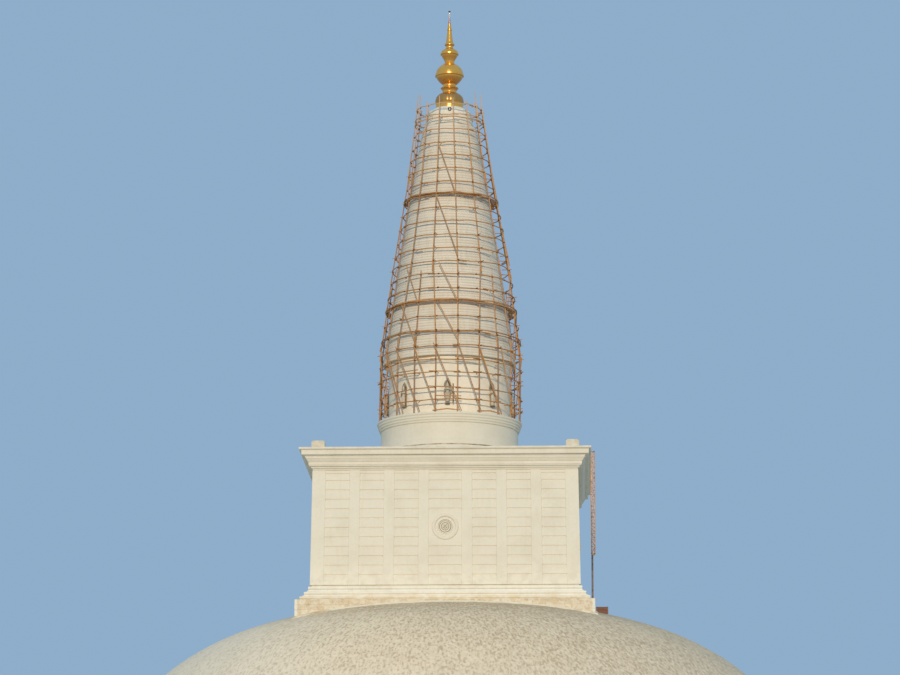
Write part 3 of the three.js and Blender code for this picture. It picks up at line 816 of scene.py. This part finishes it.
drum_foot_profile = ((0.06, 0), (0.06, 0.22), (0, 0.26))
drum_head_profile = ((0, -0.55), (0.05, -0.5), (0.08, -0.42), (0.2, -0.3), (0.2, 0))
figure_drum = turned([
    (0, figure_low.z), *at(figure_drum_side, figure_low.z, drum_foot_profile),
    *at(figure_drum_side, figure_high.z, drum_head_profile), (0, figure_high.z),
], drum_steps, 0.01)
carved = guardian()
guardians = bmesh.new()
for turn in figure_turns:
    placed = carved.copy()
    stand = Matrix.Translation((0, -figure_drum_side - 0.16, figure_foot)) @ figure_build
    bmesh.ops.transform(placed, matrix=Matrix.Rotation(turn, 4, "Z") @ stand, verts=placed.verts)
    join(guardians, placed)
carved.free()
niche_wash = limewash("niche_limewash", paint(246, 237, 214), dull_white, dull_white, 61.2, 60.5, 0.02, 0.5)
finished("figure_drum_masonry", figure_drum, niche_wash, ["figure_drum"])
# The figures' dirt colour also stands for painted shade on the bracket, halo and block behind each; the
# stain darkens the figures towards their feet.
figure_wash = limewash("figure_limewash", paint(214, 205, 184), paint(176, 164, 140), paint(150, 136, 112),
                       65.9, 65.3, 0.01, 1.2, paint(114, 102, 84))
finished("guardian_reliefs", guardians, figure_wash, [], 40)

staves = bmesh.new()
for turn in figure_turns:
    stand = Matrix.Rotation(turn, 3, "Z")
    foot = stand @ Vector((0.5, -figure_drum_side - 0.34, figure_foot))
    head = foot + Vector((0, 0, staff_reach))
    limb(staves, foot, head, 0.05, 0.042, 8)
    ball(staves, head + Vector((0, 0, 0.05)), (0.055, 0.055, 0.1), 10)
stave_bronze, shader, place = new_finish("stave_bronze")
worn = between(cloud(place, 8, 4), 0.4, 0.65)
shader.inputs["Metallic"].default_value = 0.3
coat(shader, mixed(worn, paint(158, 108, 62), paint(112, 78, 48)), worn * 0.2 + 0.5, worn, 0.004)
finished("guardian_staves", staves, stave_bronze, [], 40)

# Spire: a cone of plastered brick with a slight swelling, run in narrow rings with a scored line
# between each and the next. Soot has settled in the lines, and rain has drawn it down in runs.
ring_count = 88
ring_score = 0.034
cone_steps = 112
cone_low, cone_high = real_box("spire_cone")
cone_foot_radius = 5.95
cone_top_radius = 2.43
cone_swelling = 0.08


def cone_radius(level):
    """The radius of the cone at a level, with its slight swelling."""
    rise = (level - cone_low.z) / (cone_high.z - cone_low.z)
    straight = cone_foot_radius + (cone_top_radius - cone_foot_radius) * rise
    return straight + cone_swelling * math.sin(math.pi * rise)


ring_height = (cone_high.z - cone_low.z) / ring_count
cone_outline = [(0, cone_low.z)]
for ring in range(ring_count):
    foot = cone_low.z + ring * ring_height
    cone_outline += [
        (cone_radius(foot) - ring_score, foot),
        (cone_radius(foot) - 0.01, foot + ring_height * 0.22),
        (cone_radius(foot + ring_height * 0.6) + 0.01, foot + ring_height * 0.55),
        (cone_radius(foot + ring_height) - 0.01, foot + ring_height * 0.9),
    ]
cone_outline += [(cone_outline[-1][0], cone_high.z), (0, cone_high.z)]
cone_wash, shader, place = new_finish("cone_limewash")
in_ring = (place.axis("Z") - cone_low.z) * (1 / ring_height)
from_middle = in_ring.maths("ABSOLUTE", in_ring.maths("FRACT", in_ring) - 0.5)
score = between(from_middle, 0.3, 0.48) * between(cloud(place, 0.9, 4), 0.2, 0.6)
runs = between(drawn_out(place, (3.2, 3.2, 0.4)), 0.45, 0.72)
ring_shade = between(drawn_out(place, (0.12, 0.12, 3.4)), 0.35, 0.65)
colour = mixed(ring_shade * 0.3, paint(233, 224, 204), dull_white)
colour = mixed(runs * 0.3, colour, paint(200, 184, 152))
colour = mixed(score * 0.36, colour, paint(166, 148, 118))
grain = cloud(place, 16)
coat(shader, colour, grain * 0.2 + 0.7, grain, 0.02)
finished("ringed_cone", turned(cone_outline, cone_steps), cone_wash, ["spire_cone"])

# Neck and cap: a short neck of plastered brick above the cone, run in five rings, and over it the thick
# rings of plaster on which the gilded pinnacle stands. An iron eye for lifting is let into the cap.
neck_low, neck_high = real_box("spire_neck")
neck_side = neck_high.x
neck_side_at_top = 2.0
neck_rings = 5
neck_outline = [(0, neck_low.z)]
for ring in range(neck_rings):
    rise = ring / neck_rings
    foot = neck_low.z + (neck_high.z - neck_low.z) * rise
    side = neck_side + (neck_side_at_top - neck_side) * rise
    neck_outline += [(side - 0.03, foot), (side, foot + 0.03), (side - 0.01, foot + 0.19)]
neck_outline += [(neck_side_at_top, neck_high.z), (0, neck_high.z)]
neck = turned(neck_outline, cone_steps)
cap_wash = limewash("cap_limewash", paint(242, 235, 215), dull_white, dull_white, 92.6, 91.6, 0.02, 0.5)
finished("ringed_neck", neck, cap_wash, ["spire_neck"])

cap_low, cap_high = real_box("spire_cap")
cap_side = cap_high.x
cap_profile = [
    (-0.05, 0), *roll(-0.09, 0.11, 0.09, -60, 60), (-0.2, 0.22), (-0.26, 0.25), (-0.26, 0.3), (-0.2, 0.33),
    *roll(-0.21, 0.45, 0.05, -60, 0, 3), *roll(-0.22, 0.78, 0.05, 0, 80, 3),
]
cap_head = ((1.6, -0.22), (1.4, -0.03), (1.35, 0), (0, 0))
cap_outline = [(0, cap_low.z), *at(cap_side, cap_low.z, cap_profile), *at(0, cap_high.z, cap_head)]
cap = turned(cap_outline, cone_steps)
finished("ringed_cap", cap, cap_wash, ["spire_cap"])

eye = bmesh.new()
eye_half = 0.13
for step in range(16):
    angles = (math.tau * step / 16, math.tau * (step + 1) / 16)
    ends = [Vector((math.cos(angle), 0, 1.25 * math.sin(angle))) * eye_half for angle in angles]
    limb(eye, *ends, 0.035, 0.035, 6)
bmesh.ops.translate(eye, vec=(0.08, -cap_side + 0.13, cap_low.z + 0.72), verts=eye.verts)
iron, shader, place = new_finish("wrought_iron")
rusted = between(cloud(place, 12, 4), 0.4, 0.65)
shader.inputs["Metallic"].default_value = 0.7
coat(shader, mixed(rusted, paint(62, 56, 50), paint(96, 70, 52)), rusted * 0.3 + 0.5, rusted, 0.004)
finished("lifting_eye", eye, iron, [], 40)

# Pinnacle: copper sheet beaten over formers, gilded and soldered in stages: a skirt with a seamed
# dome on it, a collar, a large and a small bulb with a raised band round each, and a spike.
pinnacle_steps = 72
seam_count = 20


def eased(a, b, c, d, share):
    """The value between b and c on a smooth line through the four values."""
    bend = (2 * a - 5 * b + 4 * c - d) * share ** 2
    twist = (3 * b - a - 3 * c + d) * share ** 3
    return 0.5 * (2 * b + (c - a) * share + bend + twist)


def swept(points, steps=4):
    """A smooth line through the points, as a Catmull-Rom curve."""
    line = [points[0]]
    for index in range(len(points) - 1):
        before = points[max(index - 1, 0)]
        after = points[min(index + 2, len(points) - 1)]
        near = list(zip(before, points[index], points[index + 1], after))
        for step in range(1, steps + 1):
            line.append(tuple(eased(*values, step / steps) for values in near))
    return line


pinnacle_parts = {
    "pinnacle_foot": [
        (0, 93.703), (1.24, 93.703), (1.25, 93.75), (1.235, 93.8), (1.235, 94.06), (1.25, 94.11),
        (1.235, 94.15),
        *swept([(1.25, 94.19), (1.285, 94.32), (1.28, 94.52), (1.2, 94.8), (1.06, 94.98), (0.86, 95.12)]),
        (0.72, 95.19), (0.66, 95.22), (0.63, 95.28), (0, 95.28)],
    "pinnacle_collar": [
        (0, 95.283), *swept([(0.62, 95.283), (0.64, 95.42), (0.72, 95.56), (0.78, 95.62)]),
        *roll(0.76, 95.69, 0.05, -70, 70),
        *swept([(0.7, 95.76), (0.61, 95.8), (0.58, 95.9), (0.6, 96.02)]),
        (0, 96.02)],
    "pinnacle_large_bulb": [
        (0, 96.023), *swept([(0.61, 96.023), (0.77, 96.15), (0.98, 96.36), (1.14, 96.58), (1.2, 96.74)]),
        (1.27, 96.76), *roll(1.27, 96.79, 0.03, -60, 0, 2), *roll(1.27, 96.94, 0.03, 0, 70, 3),
        *swept([(1.25, 97.0), (1.22, 97.18), (1.12, 97.42), (0.95, 97.64), (0.72, 97.84)]),
        *swept([(0.72, 97.84), (0.52, 97.98), (0.43, 98.07)]), (0, 98.07)],
    "pinnacle_small_bulb": [
        (0, 98.073), *swept([(0.42, 98.073), (0.46, 98.24), (0.57, 98.46), (0.68, 98.64), (0.74, 98.78)]),
        (0.79, 98.8), *roll(0.79, 98.83, 0.03, -60, 0, 2), *roll(0.79, 98.94, 0.03, 0, 70, 3),
        *swept([(0.78, 99.0), (0.74, 99.11), (0.65, 99.22), (0.53, 99.31), (0.43, 99.38)]), (0, 99.38)],
    "pinnacle_spike": [
        (0, 99.383), (0.37, 99.383), (0.33, 99.45), (0.31, 99.54), (0.32, 99.62), (0.36, 99.68),
        (0.43, 99.71), (0.45, 99.74), (0.45, 99.82), (0.43, 99.86), (0.36, 99.9), (0.34, 99.95),
        *swept([(0.32, 100.0), (0.27, 100.4), (0.22, 100.8), (0.19, 101.08)]),
        (0.22, 101.14), (0.225, 101.2), (0.21, 101.26),
        *swept([(0.17, 101.32), (0.15, 101.5), (0.13, 101.75)]), (0, 101.75)],
}
skirt_top = 94.2
gilt_dome_top = 95.15
seam_depth = 0.035
gilding, shader, place = new_finish("gilding")
beaten = cloud(place, 2.2, 3)
tarnish = between(cloud(place, 3.5, 5), 0.5, 0.78)
facing = place.node("NewGeometry", {}, {}, "Normal")
painted_underside_shade = between(facing.axis("Z"), -0.1, -0.75)
level = place.axis("Z")
weathered = between(level, 95.3, 95.1) * between(level, 94.1, 94.3)
shader.inputs["Metallic"].default_value = 0.74
colour = mixed(tarnish * 0.35, paint(255, 190, 88), paint(210, 130, 48))
colour = mixed(between(cloud(place, 0.9, 2), 0.4, 0.7) * 0.3, colour, paint(255, 204, 112))
# Painted shade and a painted dark reflection on the undersides, which face down, away from the light.
colour = mixed(painted_underside_shade * 0.6, colour, paint(178, 98, 30))
colour = mixed(weathered * 0.65, colour, paint(158, 122, 84))
roughness = tarnish * 0.12 + cloud(place, 9) * 0.08 + weathered * 0.12 + 0.18
coat(shader, colour, roughness, beaten, 0.02)
for node, outline in pinnacle_parts.items():
    part = turned(outline, pinnacle_steps)
    if node == "pinnacle_foot":
        for vert in part.verts:
            if skirt_top < vert.co.z < gilt_dome_top:
                angle = math.atan2(vert.co.y, vert.co.x)
                lobe = 1 - seam_depth * (1 - abs(math.sin(angle * seam_count / 2))) ** 2
                vert.co.x *= lobe
                vert.co.y *= lobe
    finished(node + "_gilt", part, gilding, [node])

# Crystal: a clear cut stone at the very tip. It is held between the head of a slim bronze rod, which is
# set into the spike, and a small knob of dark iron.
tip_low, tip_high = real_box("crystal_tip")
rod_top = 102.36
crystal_top = tip_high.z - 0.13
stone_foot = ((0, 0), (0.05, 0.02), (0.09, 0.1))
stone_head = ((0.09, -0.1), (0.05, 0), (0, 0.02))
rod_foot = ((0, 0), (0.13, 0), (0.14, 0.05), (0.12, 0.1))
rod_head = ((0.07, -0.2), (0.05, -0.06), (0.08, -0.03), (0.08, 0.03), (0, 0.05))
knob_profile = ((0, -0.02), (0.06, -0.01), (0.105, 0.03), (0.105, 0.07), (0.05, 0.11))
crystal_tip = turned(at(0, rod_top, stone_foot) + at(0, crystal_top, stone_head), 8)
rod = turned(at(0, tip_low.z, rod_foot) + at(0, rod_top, rod_head), 24)
knob = turned([*at(0, crystal_top, knob_profile), (0, tip_high.z)], 20)
clear_crystal, shader, place = new_finish("clear_crystal")
shader.inputs["Transmission Weight"].default_value = 0.55
shader.inputs["IOR"].default_value = 1.52
colour = mixed(between(cloud(place, 6), 0.4, 0.7), paint(250, 246, 240), paint(214, 206, 200))
coat(shader, colour, cloud(place, 20) * 0.1 + 0.04, cloud(place, 12), 0.004)
finished("cut_crystal", crystal_tip, clear_crystal, ["crystal_tip"], 20)
rod_bronze, shader, place = new_finish("rod_bronze")
colour = mixed(between(cloud(place, 8, 4), 0.4, 0.7), paint(232, 196, 178), paint(168, 128, 110))
shader.inputs["Metallic"].default_value = 0.8
coat(shader, colour, cloud(place, 20) * 0.3 + 0.3, cloud(place, 16), 0.006)
finished("crystal_rod", rod, rod_bronze, ["crystal_tip"])
finished("crystal_knob", knob, iron, ["crystal_tip"])

# Scaffold: round timber poles lashed with rope, standing on the ledge round the drum and drawing in
# with the cone. Standards are joined pole on pole, ledgers and braces run round them, and short ties
# reach back to the plaster. Planks lie on it at two levels.
random.seed(12)
pole_thick = 0.115
lower_standards = 20
upper_standards = 15
change_level = 78.4
first_bearing = math.radians(7.6)
scaffold_line = [
    (ledge_top, 6.26, 0.05), (71.2, 6.26, 0.12), (79.0, 5.19, 0.2), (87.0, 3.76, 0.12), (93.5, 2.9, 0.03),
    (96.2, 2.75, 0),
]
sill_level = 64.85
drum_ledgers = [65.85, 66.9, 68.3, 69.45]
lift_top = 70.7
cone_ledgers = [
    lift_top, 71.95, 72.12, 73.4, 74.75, 76.0, 77.3, 78.55, 79.8, 81.1, 82.35, 83.6, 84.85, 86.1, 87.35,
    88.65, 89.8, 91.1, 92.2, 92.5, 93.5,
]
braced_lifts = [(71.2, 74.75), (74.75, 78.4), (79.0, 84.85), (84.85, 89.8)]
platform_levels = [74.75, 84.85]
pole_heads = (71.6, 87.4, 93.9)
plank_long = 1.9
plank_wide = 0.2
plank_thick = 0.045
plank_rows = 2
plank_spacing = 0.24
plank_overlap = 0.25
lower_ring = [first_bearing + math.tau * index / lower_standards for index in range(lower_standards)]
upper_ring = [first_bearing + math.tau * index / upper_standards for index in range(upper_standards)]


def scaffold_ring(level):
    """The radius of the ring of standards at a level, and how far its middle is to the right."""
    for (foot, wide, first), (head, narrow, last) in zip(scaffold_line, scaffold_line[1:]):
        if level <= head:
            rise = (level - foot) / (head - foot)
            return wide + (narrow - wide) * rise, first + (last - first) * rise
    return scaffold_line[-1][1:]


def on_scaffold(bearing, level, out=0.0):
    """A point on the scaffold. Bearing 0 is the front, and the bearing grows to the right."""
    radius, middle = scaffold_ring(level)
    radius += out
    return Vector((middle + radius * math.sin(bearing), -radius * math.cos(bearing), level))


def sway(bearing, level):
    """How far a ledger has settled or been tied too high there."""
    return 0.09 * noise.noise(Vector((math.sin(bearing) * 4, math.cos(bearing) * 4, level * 3)))


scaffold = bmesh.new()
pole_tone = scaffold.faces.layers.float.new("tone")
lashings = bmesh.new()


def pole(start, end, thick=pole_thick, tone=None):
    """A round pole between two places, each given as (bearing, level, out), and thinner at its head."""
    place, length = spanning(on_scaffold(*start), on_scaffold(*end))
    before = len(scaffold.faces)
    bmesh.ops.create_cone(scaffold, cap_ends=True, segments=7, radius1=thick / 2, radius2=thick * 0.42,
                          depth=length, matrix=place)
    tone_new(scaffold, pole_tone, before, random.random() if tone is None else tone)


def bent_pole(start, sweep, level, thick, out):
    """A ledger bent along the ring of standards from one bearing through a sweep."""
    radius, middle = scaffold_ring(level)
    centre = (middle, 0, 0)
    painted_light_across = Matrix.Translation((0, -radius - out, level)) @ Matrix.Rotation(math.pi / 2, 4, "Y")
    stand = Matrix.Translation(centre) @ Matrix.Rotation(start, 4, "Z") @ painted_light_across
    faces_before, verts_before = len(scaffold.faces), len(scaffold.verts)
    section = bmesh.ops.create_circle(scaffold, cap_ends=False, segments=6, radius=thick / 2, matrix=stand)
    ring = list({edge for vert in section["verts"] for edge in vert.link_edges})
    steps = max(3, round(abs(sweep) / math.radians(6)))
    bmesh.ops.spin(scaffold, geom=section["verts"] + ring, cent=centre, axis=(0, 0, 1), angle=sweep,
                   steps=steps, use_merge=False)
    tone_new(scaffold, pole_tone, faces_before, random.random())
    scaffold.verts.ensure_lookup_table()
    for vert in scaffold.verts[verts_before:]:
        vert.co.z += sway(math.atan2(vert.co.x - middle, -vert.co.y), level)


def lash(bearing, level):
    """A few turns of rope round a crossing of poles."""
    size = Matrix.Diagonal((0.19, 0.19, 0.16, 1))
    bmesh.ops.create_uvsphere(lashings, u_segments=7, v_segments=4, radius=0.5,
                              matrix=Matrix.Translation(on_scaffold(bearing, level)) @ size)


def standard(foot_bearing, foot, head_bearing, head):
    """One pole of a standard, which stands a little inside or outside the ring."""
    side = random.choice((-0.05, 0.05))
    tilt = random.uniform(-0.008, 0.008)
    pole((foot_bearing, foot, side), (head_bearing + tilt, head, side))


for index, bearing in enumerate(lower_ring):
    standard(bearing, ledge_top, bearing, pole_heads[0])
    if index % 4 == 2:
        standard(bearing, lift_top, bearing, random.uniform(77, 78.2))
for index, bearing in enumerate(upper_ring):
    below = lower_ring[round(index * lower_standards / upper_standards)]
    standard(below, lift_top, bearing, change_level + 0.6)
    standard(bearing, change_level - 0.8, bearing, pole_heads[1])
    standard(bearing, pole_heads[1] - 1.1, bearing, pole_heads[2])
    if index % 3 != 1:
        head = pole_heads[2] + random.uniform(0.9, 1.4) * abs(math.sin(bearing))
        head_bearing = bearing + random.uniform(-0.02, 0.02)
        pole((bearing, pole_heads[2] - 1.5, 0.06), (head_bearing, head, 0.02), 0.08, 1)

bay = math.tau / lower_standards
for level in drum_ledgers:
    for index in range(0, lower_standards, 2):
        start = first_bearing + index * bay - random.uniform(0.02, 0.07)
        end = first_bearing + (index + 2) * bay + random.uniform(0.02, 0.07)
        middle = (start + end) / 2
        out = random.choice((-0.09, 0.1))
        slope = random.uniform(-0.1, 0.1)
        step = random.uniform(-0.14, 0.14)
        pole((start, level - slope, out), (middle, level, out + 0.02), 0.1)
        pole((middle - 0.09, level + step, out + 0.1), (end, level + slope, out + 0.02), 0.1)
        if level == drum_ledgers[-1] or random.random() < 0.3:
            rise = random.uniform(0.12, 0.3)
            first, last = random.choice(((start, middle), (middle, end)))
            pole((first, level + slope + rise, 0.1), (last, level + rise, 0.12), 0.1)
for index, bearing in enumerate(lower_ring):
    head = bearing + bay * random.uniform(-0.1, 0.15)
    foot = bearing + bay * random.uniform(1.05, 1.35)
    pole((head, lift_top + 0.2, 0.1), (foot, sill_level - 0.05, 0.1), 0.1)
    if index % 5 == 1:
        pole((head + 0.03, lift_top - 0.3, -0.1), (foot + 0.03, sill_level, -0.1), 0.09)
    if index % 6 == 1:
        joint = (bearing + bay * 0.55, sill_level + 0.12, 0.1)
        pole((bearing - 0.03, sill_level, 0.1), joint, 0.12)
        pole(joint, (bearing + bay + 0.03, sill_level + 0.02, 0.1), 0.11)
    for level in drum_ledgers:
        lash(bearing, level)
    for level in (drum_ledgers[0], drum_ledgers[2], lift_top):
        pole((bearing + 0.015, level + 0.08, -0.8), (bearing + 0.015, level + 0.06, 0.32), 0.08)

for level in cone_ledgers:
    lower = level < change_level
    arcs = 7 if lower else 5
    bearing = random.uniform(0, 1)
    for arc in range(arcs):
        overlap = random.uniform(0.08, 0.16)
        bent_pole(bearing, math.tau / arcs + overlap, level + random.uniform(-0.05, 0.05),
                  random.uniform(0.085, 0.11), random.choice((-0.07, 0.08)))
        bearing += math.tau / arcs
    inner = cone_radius(min(level, cone_high.z)) - scaffold_ring(level)[0] - 0.03
    for bearing in lower_ring if lower else upper_ring:
        lash(bearing, level + sway(bearing, level))
        if random.random() < 0.45:
            beside = bearing + 0.02
            out = random.uniform(0.15, 0.4)
            pole((beside, level + 0.07, inner), (beside, level + 0.07, out), 0.075)
for lift_foot, lift_head in braced_lifts:
    ring = lower_ring if lift_foot < change_level else upper_ring
    for index, bearing in enumerate(ring):
        if index % 3 == 0:
            sweep = math.tau / len(ring) * (1 if index % 2 else -1)
            pole((bearing, lift_foot, 0.1), (bearing + sweep, lift_head, 0.1), 0.09)

for level in platform_levels:
    inner = cone_radius(level) + 0.02
    reach = scaffold_ring(level)[0] - 0.1
    planks = round(math.tau * reach / plank_long)
    for index in range(planks):
        turn = Matrix.Rotation(math.tau * index / planks, 4, "Z")
        for row in range(plank_rows):
            radius = inner + 0.12 + row * plank_spacing
            if radius > reach:
                continue
            long = math.tau * radius / planks + plank_overlap
            laid = Matrix.Translation((0, -radius, level + 0.1 + 0.03 * (index % 2)))
            before = len(scaffold.faces)
            bmesh.ops.create_cube(scaffold, size=1,
                                  matrix=turn @ laid @ Matrix.Diagonal((long, plank_wide, plank_thick, 1)))
            tone_new(scaffold, pole_tone, before, random.random())
    for arc in range(5):
        bent_pole(math.tau / 5 * arc, math.tau / 5 + 0.1, level + 0.16, 0.12, 0.1)

bmesh.ops.holes_fill(scaffold, edges=open_rim(scaffold), sides=6)
bmesh.ops.recalc_face_normals(scaffold, faces=scaffold.faces)

pole_timber, shader, place = new_finish("pole_timber")
tone = tone_of(place)
bark = cloud(place, 4, 4)
bleached = between(place.axis("Z"), 88, 94.5)
colour = mixed(tone, paint(204, 150, 90), paint(150, 106, 64))
colour = mixed(between(tone, 0.7, 1.0) * 0.5, colour, paint(222, 176, 116))
colour = mixed(between(bark, 0.5, 0.7) * 0.5, colour, paint(106, 76, 48))
colour = mixed(bleached * 0.55, colour, paint(230, 196, 154))
coat(shader, colour, bark * 0.3 + 0.55, cloud(place, 12, 4), 0.03)
finished("pole_scaffold", scaffold, pole_timber, [
    "scaffold_first_tier", "scaffold_second_tier", "scaffold_third_tier", "scaffold_top_tier"], 50)

rope, shader, place = new_finish("lashing_rope")
strands = drawn_out(place, (4, 4, 26))
colour = mixed(between(strands, 0.4, 0.65), paint(146, 96, 56), paint(92, 58, 36))
coat(shader, colour, strands * 0.2 + 0.7, strands, 0.03)
finished("rope_lashings", lashings, rope, [], 50)

# Hoist mast: a lattice of four steel angles with lacing bars between them, in bays, beside the back
# right corner of the chamber. It is bolted to the head of a plain steel tube that stands on the
# footing. Its primer is rust-red and worn, and the tube has weathered to a dull brown.
mast_low, mast_high = real_box("hoist_mast")
mast_width = 0.38
mast_bays = 15
angle_leg = 0.1
angle_thick = 0.014
lacing = 0.05
plate = 0.06
bay_margin = 0.08
lattice_foot = 54.84
tube_middle = Vector((12.68, (mast_low.y + mast_high.y) / 2, 0))
mast = bmesh.new()
reach = mast_width / 2
mast_middle = Vector((mast_high.x - reach, tube_middle.y))
ways = [Vector(way) for way in ((-1, -1), (1, -1), (1, 1), (-1, 1))]


def lacing_bar(body, start, end, thick):
    """A square bar of lacing between two points."""
    place, length = spanning(start, end)
    bmesh.ops.create_cube(body, size=1, matrix=place @ Matrix.Diagonal((thick, thick, length, 1)))


for way in ways:
    corner = mast_middle + way * reach
    for leg in ((angle_thick, angle_leg), (angle_leg, angle_thick)):
        inner = corner - way * Vector(leg)
        low = [min(pair) for pair in zip(corner, inner)]
        high = [max(pair) for pair in zip(corner, inner)]
        add_block(mast, (*low, lattice_foot), (*high, mast_high.z), 0.002)
posts = [mast_middle + way * (reach - angle_thick - lacing / 2) for way in ways]
bay_high = (mast_high.z - lattice_foot - 2 * bay_margin) / mast_bays
for bay_index in range(mast_bays):
    foot = lattice_foot + bay_margin + bay_high * bay_index
    head = foot + bay_high
    for index, here in enumerate(posts):
        there = posts[(index + 1) % 4]
        lacing_bar(mast, (*here, foot), (*there, foot), lacing)
        if (bay_index + index) % 2:
            lacing_bar(mast, (*here, foot), (*there, head), lacing)
        else:
            lacing_bar(mast, (*there, foot), (*here, head), lacing)
for foot, top in ((lattice_foot - plate, lattice_foot + 0.1), (mast_high.z - plate, mast_high.z)):
    add_block(mast, (mast_middle.x - reach, mast_middle.y - reach, foot),
              (mast_middle.x + reach, mast_middle.y + reach, top), 0.006)
primer, shader, place = new_finish("rust_red_primer")
rust = between(cloud(place, 5, 5), 0.45, 0.65)
colour = mixed(rust * 0.8, paint(214, 154, 84), paint(156, 104, 56))
colour = mixed(between(cloud(place, 16, 3), 0.55, 0.7) * 0.5, colour, paint(224, 176, 112))
coat(shader, colour, rust * 0.35 + 0.4, cloud(place, 30, 3), 0.01)
finished("lattice_mast", mast, primer, ["hoist_mast"])
tube_foot = ((0, 0), (0.1, 0), (0.1, 0.03), (0.085, 0.05))
tube_head = ((0.085, -0.09), (0.1, -0.07), (0.1, -0.05), (0, -0.05))
tube = turned(at(0, mast_low.z, tube_foot) + at(0, lattice_foot, tube_head), 20)
bmesh.ops.translate(tube, vec=tube_middle, verts=tube.verts)
tube_paint, shader, place = new_finish("weathered_tube")
rust = between(cloud(place, 3, 5), 0.42, 0.66)
colour = mixed(rust, paint(132, 112, 98), paint(112, 82, 62))
coat(shader, colour, rust * 0.3 + 0.5, cloud(place, 24, 3), 0.008)
finished("mast_tube", tube, tube_paint, ["hoist_mast"])

# Wooden box: a crate left standing on the dome, to the right of the footing. It is made of dark and
# weathered boards, which are nailed round four corner posts and over the top.
crate_low, crate_high = real_box("dome_box")
crate_boards = 6
lid_boards = 5
lid_board_wide = 0.19
lid_thick = 0.05
post = 0.1
board_gap = 0.01
crate = bmesh.new()
board_tone = crate.faces.layers.float.new("tone")
add_block(crate, crate_low + Vector((0.05, 0.05, 0)), crate_high - Vector((0.05, 0.05, 0.06)))
for x in (crate_low.x, crate_high.x - post):
    for y in (crate_low.y, crate_high.y - post):
        add_block(crate, (x, y, crate_low.z), (x + post, y + post, crate_high.z), 0.008)
board_high = (crate_high.z - crate_low.z) / crate_boards
near = crate_low.xy + Vector((0.02, 0.02))
far = crate_high.xy - Vector((0.02, 0.02))
for board in range(crate_boards):
    foot = crate_low.z + board * board_high
    before = len(crate.faces)
    add_block(crate, (*near, foot + board_gap), (*far, foot + board_high - board_gap), 0.01)
    tone_new(crate, board_tone, before, random.random())
lid_spacing = (crate_high.x - crate_low.x) / lid_boards
for board in range(lid_boards):
    left = crate_low.x + lid_spacing * board
    before = len(crate.faces)
    add_block(crate, (left + board_gap, crate_low.y, crate_high.z - lid_thick),
              (left + lid_board_wide, crate_high.y, crate_high.z), 0.008)
    tone_new(crate, board_tone, before, random.random())
crate_boarding, shader, place = new_finish("weathered_boards")
along_board = drawn_out(place, (2, 2, 30), 4)
colour = mixed(tone_of(place) * 0.6 + along_board * 0.4, paint(150, 106, 84), paint(98, 72, 56))
colour = mixed(between(cloud(place, 1.6, 4), 0.52, 0.64) * 0.5, colour, paint(192, 164, 138))
coat(shader, colour, along_board * 0.2 + 0.7, along_board, 0.02)
finished("board_box", crate, crate_boarding, ["dome_box"])

# Floor and light: a plain pale floor, a warm key from the front, low like the late sun, a cool fill
# from all round, and a soft low light behind, so that the far side doesn't sink into the shade.
floor_mesh = bmesh.new()
bmesh.ops.create_circle(floor_mesh, cap_ends=True, segments=96, radius=120)
floor_data = bpy.data.meshes.new("floor")
floor_mesh.to_mesh(floor_data)
floor_mesh.free()
floor = bpy.data.objects.new("floor", floor_data)
floor_finish = bpy.data.materials.new("pale_floor")
floor_finish.use_nodes = True
floor_shader = floor_finish.node_tree.nodes["Principled BSDF"]
floor_shader.inputs["Base Color"].default_value = paint(206, 206, 202)
floor_shader.inputs["Roughness"].default_value = 0.9
floor_data.materials.append(floor_finish)
bpy.context.collection.objects.link(floor)


def far_light(name, bearing, height, energy, spread, colour):
    """A light so far off that its rays are parallel. Bearing 0 is the front, and it grows to the left."""
    tilt = Matrix.Rotation(math.radians(90 - height), 3, "X")
    turn = Matrix.Rotation(math.radians(-bearing), 3, "Z") @ tilt
    light = bpy.data.objects.new(name, bpy.data.lights.new(name, "SUN"))
    light.data.energy = energy
    light.data.angle = math.radians(spread)
    light.data.color = colour
    light.rotation_euler = turn.to_euler()
    bpy.context.collection.objects.link(light)
    return light


far_light("key_light", 0.6, 15, 1.95, 2.5, (1, 0.82, 0.6))
back_light = far_light("back_light", 180, 6, 1.2, 16, (1, 0.94, 0.86))
back_light.visible_glossy = False

world = bpy.data.worlds.new("studio")
world.use_nodes = True
sky = world.node_tree.nodes["Background"]
sky.inputs["Color"].default_value = paint(150, 182, 212)
sky.inputs["Strength"].default_value = 0.9
bpy.context.scene.world = world
bpy.context.scene.view_settings.view_transform = "Standard"
